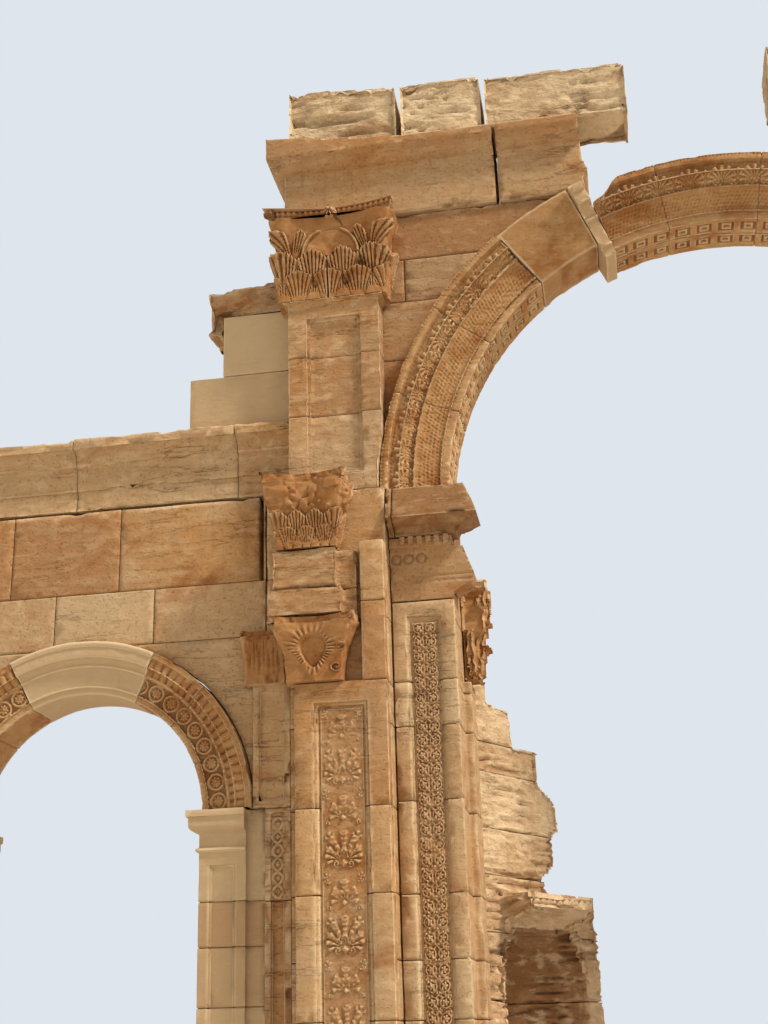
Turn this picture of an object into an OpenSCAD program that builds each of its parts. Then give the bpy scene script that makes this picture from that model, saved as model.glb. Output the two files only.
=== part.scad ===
// Ruined triumphal arch of honey limestone. Millimetres, +Z up, ground at Z = 0.
// X runs along the front, Y runs into the passages, and the front wall plane is wall_face.
// Half of the front is written by its distance u from the middle of the central arch,
// and on(side) places it to the left (-1) or to the right (1).

/* [Central arch] */
// Clear span of the central arch
span = 6920; // [6400:10:7400]
// Height of the springing of the central arch
springing_h = 7980; // [7600:10:8400]
// Width of the carved ring, seen from the front
ring_w = 818; // [700:1:900]
// Projection of the ring's outer fillet from the wall
ring_out = 250; // [180:5:280]
// Thickness of the ring and of the wall above the piers
wall_t = 680; // [600:10:900]
// How far the crown of the ring has slipped down
slip = 160; // [0:5:200]
// Angle of the joint between the carved stones and the plain one
carved_end = 129; // [124:0.5:134]
// Angle of the joint where the repair wedge begins
wedge_start = 114.6; // [113:0.1:118]
// Angle of the joint where the slipped crown begins
crown_start = 112; // [110:0.1:112.5]

/* [Side arches] */
// Height of the springing of the side arches
side_springing_h = 4310; // [4200:10:4420]
// Clear span of a side arch
side_span = 2960; // [2800:10:3100]
// Width of a side arch's ring
side_ring_w = 620; // [560:5:640]
// Projection of a side arch's ring
side_ring_out = 150; // [100:5:180]
// Angle above the springing up to which the old carved stones of that ring stand
side_old_end = 64.5; // [50:0.5:80]
// Height of the moulded stone on a side jamb
side_cap_h = 480; // [400:10:560]

/* [Piers] */
// Width of a pier between the central passage and a side arch
pier_w = 3040; // [2980:10:3200]
// Depth of the piers behind the front wall plane
pier_d = 1000; // [900:10:1400]
// Width of the jamb pilaster beside the central passage
jamb_w = 750; // [700:5:800]
// Projection of the jamb pilaster
jamb_out = 100; // [60:5:160]
// Width of the main pilaster and of the one above it
main_w = 1090; // [1000:10:1140]
// Projection of the backing strip behind the main pilaster
strip_out = 340; // [280:10:420]
// Projection of the main pilaster beyond its backing strip
main_proud = 180; // [120:10:260]
// Projection of the small pilaster and of the side jambs
small_out = 80; // [50:5:120]
// Height of an Attic base
base_h = 520; // [440:10:600]
// Projection of an Attic base
base_out = 120; // [80:5:140]

/* [Capitals] */
// Projection of a capital's slab beyond its shaft
cap_out = 250; // [200:10:280]
// Height of the main pilaster's capital
main_cap_h = 760; // [700:10:820]
// Height of the short block on that capital
block_h = 830; // [740:10:900]
// Height of the second capital, on the short block
mid_cap_h = 930; // [860:10:1000]
// Height of the upper pilaster's capital
upper_cap_h = 1320; // [1200:10:1400]
// Height of the small pilaster's capital
small_cap_h = 640; // [560:10:700]

/* [Entablatures] */
// Height of the impost block under the ring
impost_h = 600; // [540:10:660]
// Height of the dentil band under the impost
dentil_h = 130; // [100:5:160]
// Height of the block with ring motifs under the dentils
jamb_cap_h = 640; // [560:10:720]
// Height of the side bays' entablature
side_ent_h = 940; // [860:10:1000]
// Height of the top cornice
cornice_h = 1070; // [980:10:1150]
// Height of the rough blocks on top
top_h = 820; // [700:10:900]

/* [Rear wings] */
// Angle by which the passage turns behind the front
turn = 30; // [20:1:40]
// Length of each ruined rear wing along the passage
wing_l = 2500; // [2300:10:2700]
// Thickness of a rear wing
wing_t = 1050; // [950:10:1200]
// Height of a rear wing where it meets the pier
wing_h = 5700; // [5400:50:6200]

/* [Hidden] */
$fn = 96;

ring_r = span / 2;
ring_out_r = ring_r + ring_w;
side_r = side_span / 2;
side_out_r = side_r + side_ring_w;
mortar = 0.06;   // degrees between two stones of the central ring
open_joint = 25; // width of an open joint between two top stones

jamb_u = ring_r;
side_u0 = jamb_u + pier_w;
side_u1 = side_u0 + side_span;
side_axis = side_u0 + side_r;
side_jamb_w = 760;
side_return_w = 210;
pier_u1 = side_u0 - side_jamb_w;
outer_u0 = side_u1 + side_jamb_w;
main_u0 = jamb_u + jamb_w;
main_u1 = main_u0 + main_w;
upper_u1 = main_u1 + 80;
small_u0 = upper_u1 + 50;
small_u1 = side_axis - side_out_r;
outer_pil_u0 = 2 * side_axis - main_u1;
outer_u1 = 2 * side_axis - main_u0;

main_out = strip_out + main_proud;
cap_front = main_out + cap_out;
side_ent_z = springing_h + 150;
mid_cap_z = side_ent_z - mid_cap_h;
block_z = mid_cap_z - block_h;
main_h = block_z - main_cap_h;
strip_w = 300;
strip_h = mid_cap_z + 70;
cap_w = 1050;
main_cap_u0 = main_u0 + strip_w + 10;
mid_cap_u0 = main_cap_u0 + 70;
small_h = block_z - small_cap_h;
small_overhang = 160;
outer_cap_h = 900;

dentil_z = springing_h - impost_h - dentil_h;
jamb_cap_z = dentil_z - jamb_cap_h;
impost_out = 340;
cornice_z = springing_h + ring_out_r - 358;
upper_cap_z = cornice_z - upper_cap_h;
crown_lip_h = 200;
cornice_u0 = ring_out_r * cos(180 - crown_start) - 130;
cornice_l = upper_u1 - cornice_u0;
cornice_end = 110;   // how far the cornice's outer end overhangs the pilaster
cornice_front = 60;
cornice_out = 265;
top_z = cornice_z + cornice_h;
top_front = 150;
new_low_h = 755;
new_high_h = 850;
new_low_w = 1360;
new_high_w = 930;

passage_pil_w = 520;
passage_pil_out = 90;
passage_cap_h = 1280;
passage_cap_z = jamb_cap_z - 860;
niche_r = 830;
niche_z = 900;
niche_h = 1500;
niche_x = 1250;
niche_cornice_h = 400;
niche_cornice_out = 420;
rear_end = pier_d + wing_l * cos(turn) + wing_t * sin(turn);
wall_face = (cap_front - rear_end) / 2;

function arc(cx, cy, r, a0, a1, n) =
    [for (i = [0:n]) let (a = a0 + (a1 - a0) * i / n) [cx + r * cos(a), cy + r * sin(a)]];

// Profiles are [projection, height] points from the bottom up.
function base_profile(h, out) = concat(
    [[out, 0], [out, h * 0.34]],
    arc(out - h * 0.1, h * 0.44, h * 0.1, -90, 90, 6),
    [[out - h * 0.13, h * 0.57], [out - h * 0.17, h * 0.66], [out - h * 0.13, h * 0.75]],
    arc(out - h * 0.15, h * 0.83, h * 0.07, -90, 90, 6),
    [[0, h * 0.93], [0, h]]);
// Deep shelf: hollow foot, sloping underside and a plain upright front
function shelf_profile(h, out) = [[0, 0], [out * 0.08, h * 0.12], [out * 0.25, h * 0.2], [out * 0.8, h * 0.34],
    [out * 0.86, h * 0.46], [out, h * 0.5], [out, h]];
// Plain fascia, hollow moulding and thin fillet at the very top
function cavetto_profile(h, out) = concat(
    [[0, 0], [0, h * 0.62]],
    arc(out * 0.82, h * 0.62, out * 0.82, 180, 100, 6),
    [[out * 0.86, h * 0.62 + out * 0.86], [out, h]]);
// Plain tall face that a swelling moulding and a worn fillet crown
function cornice_profile(h, out) = concat(
    [[0, 0], [0, h * 0.7], [out * 0.1, h * 0.7]],
    arc(out * 0.1, h * 0.7 + out * 0.8, out * 0.8, -90, 0, 5),
    [[out, h * 0.7 + out * 0.95], [out, h]]);
// Two fasciae, a hollow moulding and a fillet
function entablature_profile(h, out) = concat(
    [[0, 0], [0, h * 0.3], [out * 0.12, h * 0.3], [out * 0.12, h * 0.62], [out * 0.3, h * 0.64]],
    arc(out, h * 0.66, out * 0.7, 180, 100, 5),
    [[out, h * 0.66 + out * 0.72], [out, h]]);
// Broken impost: undercut foot, nose low down, bevelled top
function impost_profile(h, out) = [[out * 0.2, 0], [out * 0.3, h * 0.12], [out * 0.62, h * 0.16],
    [out * 0.8, h * 0.22], [out, h * 0.27], [out * 0.94, h * 0.4], [out * 0.7, h * 0.78], [out * 0.55, h]];
// Astragal, frieze, swelling moulding and fillet of a side jamb's cap
function jamb_cap_profile(h, out) = concat(
    [[0, 0]],
    arc(out * 0.05, h * 0.08, h * 0.06, -90, 90, 5),
    [[0, h * 0.16], [0, h * 0.46], [out * 0.15, h * 0.48]],
    arc(out * 0.15, h * 0.66, h * 0.18, -90, 0, 4),
    [[out * 0.8, h * 0.8], [out, h * 0.84], [out, h]]);
// Bell of a capital: astragal at its foot, then a curve that opens upwards
function bell_profile(h, out) = concat(
    [[0, 0], [out * 0.14, h * 0.03], [out * 0.14, h * 0.07], [0, h * 0.1], [0, h * 0.3]],
    arc(out * 0.9, h * 0.45, out * 0.9, 180, 110, 6),
    [[out * 0.9, h]]);

// Stone whose front, and the ends asked for, follow a profile
module moulded(u0, u1, y0, y1, z, profile, inner = true, outer = true) {
    top = profile[len(profile) - 1][1];
    reach = 1000;
    intersection() {
        translate([u0 - reach, 0, z])
            rotate([90, 0, 90])
                linear_extrude(u1 - u0 + 2 * reach)
                    polygon(concat([[y1, 0]], [for (p = profile) [y0 - p[0], p[1]]], [[y1, top]]));
        translate([0, y1, z])
            rotate([90, 0, 0])
                linear_extrude(y1 - y0 + reach)
                    polygon(concat(
                        [for (p = profile) [u1 + (outer ? p[0] : 0), p[1]]],
                        [for (i = [len(profile) - 1:-1:0]) [u0 - (inner ? profile[i][0] : 0), profile[i][1]]]));
    }
}

module slab(u0, u1, y0, y1, z0, z1) {
    translate([u0, y0, z0])
        cube([u1 - u0, y1 - y0, z1 - z0]);
}

// Stone cut through the whole thickness to an outline drawn in u and height
module outline(y0, y1, points) {
    translate([0, y1, 0])
        rotate([90, 0, 0])
            linear_extrude(y1 - y0)
                polygon(points);
}

module on(side) {
    translate([0, wall_face, 0])
        mirror([side < 0 ? 1 : 0, 0, 0])
            children();
}

// Pilaster shaft whose front has a panel sunk in two steps
module panelled(u0, u1, y0, y1, z0, z1, margin, sink, frame = 40) {
    difference() {
        slab(u0, u1, y0, y1, z0, z1);
        slab(u0 + margin, u1 - margin, y0 - 1, y0 + sink / 2, z0 + margin, z1 - margin);
        slab(u0 + margin + frame, u1 - margin - frame, y0 - 1, y0 + sink,
            z0 + margin + frame, z1 - margin - frame);
    }
}

// Lobed outline of a leaf w wide and h high, as its right half mirrored
function leaf_half(w, h) = [[w * 0.3, 0], [w * 0.5, h * 0.22], [w * 0.4, h * 0.34], [w * 0.5, h * 0.52],
    [w * 0.38, h * 0.66], [w * 0.34, h * 0.84], [w * 0.16, h]];
function leaf_outline(w, h) = let (half = leaf_half(w, h))
    concat(half, [for (i = [len(half) - 1:-1:0]) [-half[i][0], half[i][1]]]);

// Leaf that leans out and curls over at its tip: its root is at the origin and it faces -Y
module leaf(w, h, lean) {
    tip = h * 0.1;
    back = 60;
    thick = 25;
    bend = 2 * atan(0.96 * lean / h);
    sweep = (h - 2 * tip) / sin(bend);
    intersection() {
        translate([-w / 2, 0, 0])
            rotate([90, 0, 90])
                linear_extrude(w)
                    polygon(concat(
                        [[back, h], [back, 0]],
                        arc(-thick - sweep, 0, sweep, 0, bend, 4),
                        arc(-thick - lean * 0.75, h - tip, tip, 250, 90, 4)));
        translate([0, back, 0])
            rotate([90, 0, 0])
                linear_extrude(back + thick + lean + tip)
                    polygon(leaf_outline(w, h));
    }
}

// Pilaster capital: bell with two rows of leaves, corner scrolls, hollow-sided slab and a flower on it
module capital(u0, u1, y0, y1, z, h, inset, front_leaves = 3, scrolls = true) {
    slab_h = h * 0.14;
    w = u1 - u0;
    bell_w = w - 2 * inset;
    bell_y = y0 + inset;
    leaf_w = bell_w / front_leaves;
    lean = inset * 0.55;
    moulded(u0 + inset, u1 - inset, bell_y, y1, z, bell_profile(h - slab_h, inset));
    for (i = [0:front_leaves - 1])
        translate([u0 + inset + leaf_w * (i + 0.5), bell_y, z + h * 0.05])
            leaf(leaf_w * 0.96, h * 0.34, lean);
    for (i = [1:front_leaves - 1])
        translate([u0 + inset + leaf_w * i, bell_y, z + h * 0.1])
            leaf(leaf_w, h * 0.54, lean * 1.15);
    for (end = [-1, 1])
        translate([u0 + w / 2 + end * bell_w / 2, (bell_y + y1) / 2, z + h * 0.07])
            rotate([0, 0, end * 90])
                leaf(min(leaf_w, (y1 - bell_y) * 0.8), h * 0.44, lean);
    if (scrolls) for (end = [-1, 1])
        translate([u0 + w / 2 + end * (w / 2 - inset * 0.5), y0 + inset * 0.55, z + h * 0.76])
            rotate([90, 0, end * 45])
                cylinder(r = h * 0.085, h = inset * 0.5, center = true);
    difference() {
        slab(u0, u1, y0, y1, z + h - slab_h, z + h);
        translate([u0 + w / 2, y0 - w * 0.9, z])
            cylinder(r = w * 0.98, h = h * 2);
    }
    translate([u0 + w / 2, y0 + inset * 0.45, z + h - slab_h * 0.65])
        rotate([90, 0, 0])
            cylinder(r = slab_h * 0.65, h = inset * 0.5, center = true);
}

// Archivolt profile, by radius and projection from the wall plane: fascia, bead, band, bead,
// swelling moulding that carries the palmettes, and outer fillet
function ring_profile(r0, w, t, out) = concat(
    [[r0, -t], [r0, 0]],
    [[r0 + w * 0.115, 0], [r0 + w * 0.12, out * 0.2], [r0 + w * 0.15, out * 0.2]],
    [[r0 + w * 0.16, out * 0.12], [r0 + w * 0.5, out * 0.3], [r0 + w * 0.51, out * 0.46]],
    [[r0 + w * 0.54, out * 0.46], [r0 + w * 0.56, out * 0.4]],
    arc(r0 + w * 0.56, out * 0.9, out * 0.5, -90, 0, 5),
    [[r0 + w * 0.88, out * 0.92], [r0 + w * 0.88, out], [r0 + w, out], [r0 + w, -t]]);

// Worn stone of the ring, without mouldings: its face only leans out a little
function plain_ring_profile(r0, w, t, out) = [[r0, -t], [r0, 0], [r0 + w * 0.1, out * 0.15],
    [r0 + w * 0.9, out * 0.8], [r0 + w, out * 0.8], [r0 + w, -t]];

module ring(r0, w, t, out, a0, a1, plain = false) {
    rotate([90, 0, 0])
        rotate([0, 0, a0])
            rotate_extrude(angle = a1 - a0, $fn = 360)
                polygon(plain ? plain_ring_profile(r0, w, t, out) : ring_profile(r0, w, t, out));
}

// Round space that an arch ring fills, through a wall of thickness t
module arch_void(t, r, u, z) {
    translate([u, t + 1, z])
        rotate([90, 0, 0])
            cylinder(r = r, h = t + cap_front * 2);
}

module central_ring(a0, a1, plain = false) {
    translate([0, wall_face, springing_h])
        ring(ring_r, ring_w, wall_t, ring_out, a0, a1, plain);
}

// Wedge-shaped region between two joints, both drawn from the arch's centre
module between_joints(a0, a1) {
    far = ring_out_r * 2;
    translate([0, wall_face + wall_t * 2, springing_h])
        rotate([90, 0, 0])
            linear_extrude(wall_t * 4)
                polygon(concat([[0, 0]], [for (a = [a0, (a0 + a1) / 2, a1]) [far * cos(a), far * sin(a)]]));
}

module arch_ring_left() color("#b98a55") {
    central_ring(carved_end + mortar, 180);
    central_ring(wedge_start + mortar, carved_end, true);
}
module arch_ring_right() color("#b98a55") {
    central_ring(0, 180 - carved_end - mortar);
    central_ring(180 - carved_end, 180 - wedge_start - mortar, true);
}

// Corner that has broken off the crown's left end, as [depth below the outer radius, angle]
broken_corner = [[-400, 113], [400, 113], [350, 110], [250, 107.7], [80, 104.2], [-400, 103.5]];
module arch_crown() color("#c39560")
    difference() {
        intersection() {
            translate([0, 0, -slip])
                central_ring(10, 170);
            between_joints(180 - crown_start, crown_start);
        }
        translate([0, wall_face + wall_t * 2, springing_h])
            rotate([90, 0, 0])
                linear_extrude(wall_t * 4)
                    polygon([for (p = broken_corner) (ring_out_r - p[0]) * [cos(p[1]), sin(p[1])]]);
    }

wedge_proud = 60;
module wedge(side) color("#d8bf97")
    intersection() {
        translate([0, 0, -slip])
            translate([0, wall_face, springing_h])
                ring(ring_r - wedge_proud, ring_w + slip, wall_t, ring_out + wedge_proud, 20, 160);
        if (side < 0) between_joints(crown_start, wedge_start);
        else between_joints(180 - wedge_start, 180 - crown_start);
        translate([0, wall_face, springing_h])
            ring(ring_r - 2 * slip, ring_w + 2 * slip, wall_t, ring_out * 2, 20, 160);
    }

// Core of a pier, the strips on its front and the one that stands in the passage
module pier(side) color("#bd8f5a")
    on(side) {
        slab(jamb_u, pier_u1, 0, pier_d, 0, dentil_z + dentil_h);
        slab(main_u0, pier_u1, 0, pier_d, 0, springing_h);
        slab(upper_u1, pier_u1, 0, pier_d, 0, side_ent_z);
        slab(main_u0, upper_u1, -strip_out, pier_d, 0, springing_h);
        slab(jamb_u - passage_pil_out, jamb_u, pier_d - passage_pil_w, pier_d, 0, passage_cap_z);
    }

module main_pilaster(side) color("#b48550")
    on(side) {
        moulded(main_u0, main_u1, -main_out, -strip_out, 0, base_profile(base_h, base_out), true, true);
        panelled(main_u0, main_u1, -main_out, -strip_out, base_h, main_h, 250, 60);
        slab(main_u0, main_u0 + strip_w, -main_out, -strip_out, main_h, strip_h);
    }

module main_capital(side) color("#b08049")
    on(side) capital(main_cap_u0, main_cap_u0 + cap_w, -cap_front, -strip_out, main_h, main_cap_h, 220);

module middle_capital(side) color("#b08049")
    on(side) {
        ledge_h = block_h * 0.42;
        slab(mid_cap_u0 + 90, mid_cap_u0 + cap_w - 60, -main_out - 130, -strip_out,
            block_z, block_z + ledge_h);
        slab(mid_cap_u0 + 170, mid_cap_u0 + cap_w - 110, -main_out - 80, -strip_out,
            block_z + ledge_h, mid_cap_z);
        slab(main_u0 + strip_w + open_joint, mid_cap_u0 + 170, -main_out + 60, -strip_out,
            block_z, mid_cap_z + 90);
        difference() {
            capital(mid_cap_u0, mid_cap_u0 + cap_w, -cap_front, -strip_out, mid_cap_z, mid_cap_h, 180);
            translate([mid_cap_u0, -cap_front, mid_cap_z + mid_cap_h])
                rotate([0, -60, 0])
                    cube([cap_w * 0.36, cap_out * 1.2, cap_w * 0.3], center = true);
        }
    }

module jamb_pilaster(side) color("#bd8f5a")
    on(side) {
        moulded(jamb_u, main_u0, -jamb_out, 0, 0, base_profile(base_h, base_out), true, false);
        panelled(jamb_u, main_u0, -jamb_out, 0, base_h, jamb_cap_z, 190, 50, 25);
    }

// Block with ring motifs, bevelled on the passage side, and the dentils over it
module jamb_capital(side) color("#b98a55")
    on(side) {
        flare = 250;
        slab(jamb_u, main_u0, -jamb_out, 0, jamb_cap_z, dentil_z);
        outline(-jamb_out, flare, [[jamb_u, jamb_cap_z + jamb_cap_h * 0.12], [jamb_u, dentil_z],
            [jamb_u - flare * 0.5, dentil_z], [jamb_u - flare, dentil_z - jamb_cap_h * 0.55],
            [jamb_u - flare * 0.8, dentil_z - jamb_cap_h * 0.72]]);
        tooth = dentil_h * 0.5;
        slab(jamb_u, main_u0, -jamb_out * 1.5, 0, dentil_z, springing_h - impost_h);
        for (u = [jamb_u + tooth * 0.5:tooth * 1.6:main_u0 - tooth * 1.5])
            slab(u, u + tooth, -jamb_out * 2, -jamb_out * 1.5, dentil_z + dentil_h * 0.2, springing_h - impost_h);
    }

// Impost block: its moulding returns only a short way into the passage, then it has broken off
module impost(side) color("#b98a55")
    on(side) {
        return_l = 120;
        moulded(jamb_u, main_u0, -jamb_out, return_l, springing_h - impost_h,
            impost_profile(impost_h, impost_out), true, false);
        slab(jamb_u, main_u0, 0, pier_d, springing_h - impost_h, springing_h);
    }

// Both jambs of a side arch: pilaster with a panel and a moulded cap, beside a plain return
module side_jambs(side) color("#dcc9a6")
    on(side) for (flip = [0, 1])
        translate([flip * 2 * side_axis, 0, 0])
            mirror([flip, 0, 0]) {
                cap_z = side_springing_h - side_cap_h;
                pil_u0 = pier_u1 + side_return_w;
                front = -small_out;
                slab(pier_u1, pil_u0, 0, pier_d, 0, side_springing_h);
                moulded(pil_u0, side_u0, front, pier_d, 0, base_profile(base_h, base_out), false, true);
                panelled(pil_u0, side_u0, front, pier_d, base_h, cap_z, 130, 30, 30);
                moulded(pil_u0, side_u0, front, pier_d, cap_z, jamb_cap_profile(side_cap_h, 130), false, true);
            }

// Small pilaster with a leaf capital on each side of a side arch
module small_pilaster(side) color("#bd8f5a")
    on(side) for (flip = [0, 1])
        translate([flip * 2 * side_axis, 0, 0])
            mirror([flip, 0, 0]) {
                front = -small_out;
                moulded(small_u0, pier_u1, front, 0, 0, base_profile(base_h, base_out), false, false);
                panelled(small_u0, pier_u1, front, 0, base_h, side_springing_h, 80, 30, 20);
                panelled(small_u0, small_u1, front, 0, side_springing_h, small_h, 80, 30, 20);
                capital(small_u0 - 30, small_u1 + small_overhang, front - 150, 0,
                    small_h, small_cap_h, 90, 2, false);
            }

// Side ring: old carved stones at both ends, new plain ones over the middle
module side_arch(side) color("#b98a55")
    on(side) translate([side_axis, 0, side_springing_h]) {
        ring(side_r, side_ring_w, wall_t, side_ring_out, 0, side_old_end - mortar);
        ring(side_r, side_ring_w, wall_t, side_ring_out, side_old_end, 180 - side_old_end);
        ring(side_r, side_ring_w, wall_t, side_ring_out, 180 - side_old_end + mortar, 180);
    }

module side_wall(side) color("#bd8f5a")
    on(side) difference() {
        slab(pier_u1, outer_u0, 0, wall_t, side_springing_h, side_ent_z);
        arch_void(wall_t, side_out_r, side_axis, side_springing_h);
    }

module side_entablature(side) color("#c79b66")
    on(side) moulded(upper_u1, outer_u1, 0, wall_t, side_ent_z,
        entablature_profile(side_ent_h, 220), false, true);

module outer_pier(side) color("#bd8f5a")
    on(side) slab(outer_u0, outer_u1, 0, pier_d, 0, side_ent_z);

module outer_pilaster(side) color("#b48550")
    on(side) {
        cap_z = side_ent_z - outer_cap_h;
        moulded(outer_pil_u0, outer_u1, -strip_out, 0, 0, base_profile(base_h, base_out));
        panelled(outer_pil_u0, outer_u1, -strip_out, 0, base_h, cap_z, 250, 60);
        capital(outer_pil_u0 - 150, outer_u1 + 150, -strip_out - 200, 0, cap_z, outer_cap_h, 180);
    }

module upper_wall(side) color("#c39560")
    on(side) difference() {
        slab(ring_out_r * cos(180 - wedge_start) + 120, upper_u1, 0, wall_t, springing_h, cornice_z);
        arch_void(wall_t, ring_out_r, 0, springing_h);
    }

module upper_pilaster(side) color("#c39560")
    on(side) difference() {
        union() {
            panelled(main_u0, upper_u1, -strip_out, 0, springing_h, upper_cap_z, 250, 60);
            moulded(main_u0, upper_u1, -strip_out, 0, upper_cap_z - crown_lip_h,
                cavetto_profile(crown_lip_h, 60));
        }
        arch_void(wall_t, ring_out_r, 0, springing_h);
    }

module upper_capital(side) color("#b08049")
    on(side) capital(main_u0 - 245, upper_u1 + 260, -strip_out - 190, 0, upper_cap_z, upper_cap_h, 170);

// Cornice in two long stones with an open joint, ragged where it has broken off over the ring.
// Toward its outer end a worn lip still stands up in front of the blocks on top.
module cornice(side) color("#c79b66")
    on(side) {
        joint_u = cornice_u0 + cornice_l * 0.3;
        lip = cornice_out - cornice_front;
        end_u = upper_u1 + cornice_end;
        moulded(joint_u + open_joint, end_u, -cornice_front, wall_t, cornice_z,
            cornice_profile(cornice_h, lip), false, true);
        outline(-cornice_out, -top_front, [[end_u - cornice_l * 0.42, top_z], [end_u + lip, top_z],
            [end_u + lip, top_z + 190], [end_u - 300, top_z + 160], [end_u - 700, top_z + 70]]);
        intersection() {
            moulded(cornice_u0, joint_u, -cornice_front, wall_t, cornice_z,
                cornice_profile(cornice_h, lip), false, false);
            outline(-cornice_out, wall_t, [[joint_u, cornice_z], [cornice_u0 + 40, cornice_z],
                [cornice_u0 + 70, cornice_z + cornice_h * 0.2], [cornice_u0, cornice_z + cornice_h * 0.32],
                [cornice_u0 + 60, cornice_z + cornice_h * 0.45], [cornice_u0 + 90, cornice_z + cornice_h],
                [joint_u, cornice_z + cornice_h]]);
        }
    }

// Three rough blocks, worn round at their edges, the last one reaching out over the ring
module top_blocks(side) color("#c79b66")
    on(side) {
        worn = top_h * 0.08;
        joints = [for (share = [1.01, 0.62, 0.33, -0.157]) cornice_u0 + cornice_l * share];
        outer_tops = [1.25, 1.1, 1.05];
        inner_tops = [1.1, 1.09, 0.97];
        for (i = [0:2]) {
            u1 = joints[i];
            u0 = joints[i + 1] + open_joint;
            z1 = top_z + top_h * outer_tops[i];
            z0 = top_z + top_h * inner_tops[i];
            outline(-top_front, wall_t, [[u0, top_z + worn * 0.5], [u0 + worn * 0.5, top_z], [u1, top_z],
                [u1, z1 - worn], [u1 - worn, z1], [u0 + worn * 1.5, z0 + worn * 0.2], [u0, z0 - worn]]);
        }
    }

// Rear wing with its niche, in its own frame: X along the passage, Y away from it
module wing() {
    over_niche = niche_z + niche_h + niche_r * 0.65;
    root = 1200;
    difference() {
        outline(0, wing_t, [[-root, 0], [wing_l * 0.99, 0], [wing_l, over_niche],
            [wing_l * 0.96, over_niche + niche_cornice_h], [wing_l * 0.55, wing_h * 0.61],
            [wing_l * 0.54, wing_h * 0.635], [wing_l * 0.62, wing_h * 0.66], [wing_l * 0.63, wing_h * 0.725],
            [wing_l * 0.7, wing_h * 0.742], [wing_l * 0.655, wing_h * 0.81], [wing_l * 0.53, wing_h * 0.84],
            [wing_l * 0.525, wing_h * 0.91], [wing_l * 0.325, wing_h * 0.908], [wing_l * 0.315, wing_h * 0.985],
            [wing_l * 0.115, wing_h * 0.993], [wing_l * 0.12, wing_h * 1.035],
            [-root, wing_h * 1.035]]);
        translate([niche_x, 0, 0]) {
            translate([0, 0, niche_z]) cylinder(r = niche_r, h = niche_h);
            translate([0, 0, niche_z + niche_h]) sphere(r = niche_r);
        }
    }
    moulded(niche_x - niche_r - 60, niche_x + niche_r * 0.6, 0, wing_t * 0.2, over_niche + 50,
        shelf_profile(niche_cornice_h, niche_cornice_out), false, false);
}
module rear_wing(side) color("#b98a55")
    on(1) difference() {
        translate([side * (jamb_u - 60), pier_d, 0])
            rotate([0, 0, 90 - turn])
                mirror([0, side > 0 ? 1 : 0, 0])
                    wing();
        translate([-side_axis, pier_d - 3000, -1])
            cube([2 * side_axis, 3000, wing_h * 2]);
    }

module new_blocks() color("#dcc9a6")
    on(-1) {
        z0 = side_ent_z + side_ent_h;
        slab(upper_u1, upper_u1 + new_low_w, 0, wall_t, z0, z0 + new_low_h - 4);
        slab(upper_u1, upper_u1 + new_high_w, 0, wall_t, z0 + new_low_h, z0 + new_low_h + new_high_h);
    }

module broken_block() color("#bd8f5a")
    on(-1) translate([upper_u1, 0, side_ent_z + side_ent_h + new_low_h + new_high_h])
        outline(0, wall_t, [[0, 0], [new_high_w, 0], [new_high_w, -270], [new_high_w + 245, -265],
            [new_high_w + 255, 430], [new_high_w + 20, 415], [new_high_w * 0.6, 500], [0, 580]]);

// Broken capital of the pilaster that stands in the passage
module passage_capital() color("#b08049")
    on(-1) translate([jamb_u, pier_d - passage_pil_w / 2, passage_cap_z])
        rotate([0, 0, -90]) {
            front = -passage_pil_out - 260;
            capital(-passage_pil_w / 2 - 60, passage_pil_w / 2, front, 0, 0, passage_cap_h, 140, 2);
        }

arch_ring_left();
arch_ring_right();
arch_crown();
wedge(-1);  // left_wedge
wedge(1);  // right_wedge
pier(-1);  // left_pier
pier(1);  // right_pier
main_pilaster(-1);  // left_main_pilaster
main_pilaster(1);  // right_main_pilaster
main_capital(-1);  // left_main_capital
main_capital(1);  // right_main_capital
middle_capital(-1);  // left_middle_capital
middle_capital(1);  // right_middle_capital
jamb_pilaster(-1);  // left_jamb_pilaster
jamb_pilaster(1);  // right_jamb_pilaster
jamb_capital(-1);  // left_jamb_capital
jamb_capital(1);  // right_jamb_capital
impost(-1);  // left_impost
impost(1);  // right_impost
side_jambs(-1);  // left_side_jambs
side_jambs(1);  // right_side_jambs
small_pilaster(-1);  // left_small_pilaster
small_pilaster(1);  // right_small_pilaster
side_arch(-1);  // left_side_arch
side_arch(1);  // right_side_arch
side_wall(-1);  // left_side_wall
side_wall(1);  // right_side_wall
side_entablature(-1);  // left_side_entablature
side_entablature(1);  // right_side_entablature
outer_pier(-1);  // left_outer_pier
outer_pier(1);  // right_outer_pier
outer_pilaster(-1);  // left_outer_pilaster
outer_pilaster(1);  // right_outer_pilaster
upper_wall(-1);  // left_upper_wall
upper_wall(1);  // right_upper_wall
upper_pilaster(-1);  // left_upper_pilaster
upper_pilaster(1);  // right_upper_pilaster
upper_capital(-1);  // left_upper_capital
upper_capital(1);  // right_upper_capital
cornice(-1);  // left_cornice
cornice(1);  // right_cornice
top_blocks(-1);  // left_top_blocks
top_blocks(1);  // right_top_blocks
rear_wing(-1);  // left_rear_wing
rear_wing(1);  // right_rear_wing
new_blocks();  // left_new_blocks
broken_block();  // left_broken_block
passage_capital();  // left_passage_capital
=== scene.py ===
"""Looks of a ruined triumphal arch: weathered ashlar, carved rings, relief panels and leaf capitals."""
import math
from collections import namedtuple

import bmesh
import bpy
import numpy as np
from mathutils import Matrix, Vector
from mathutils.bvhtree import BVHTree


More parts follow.
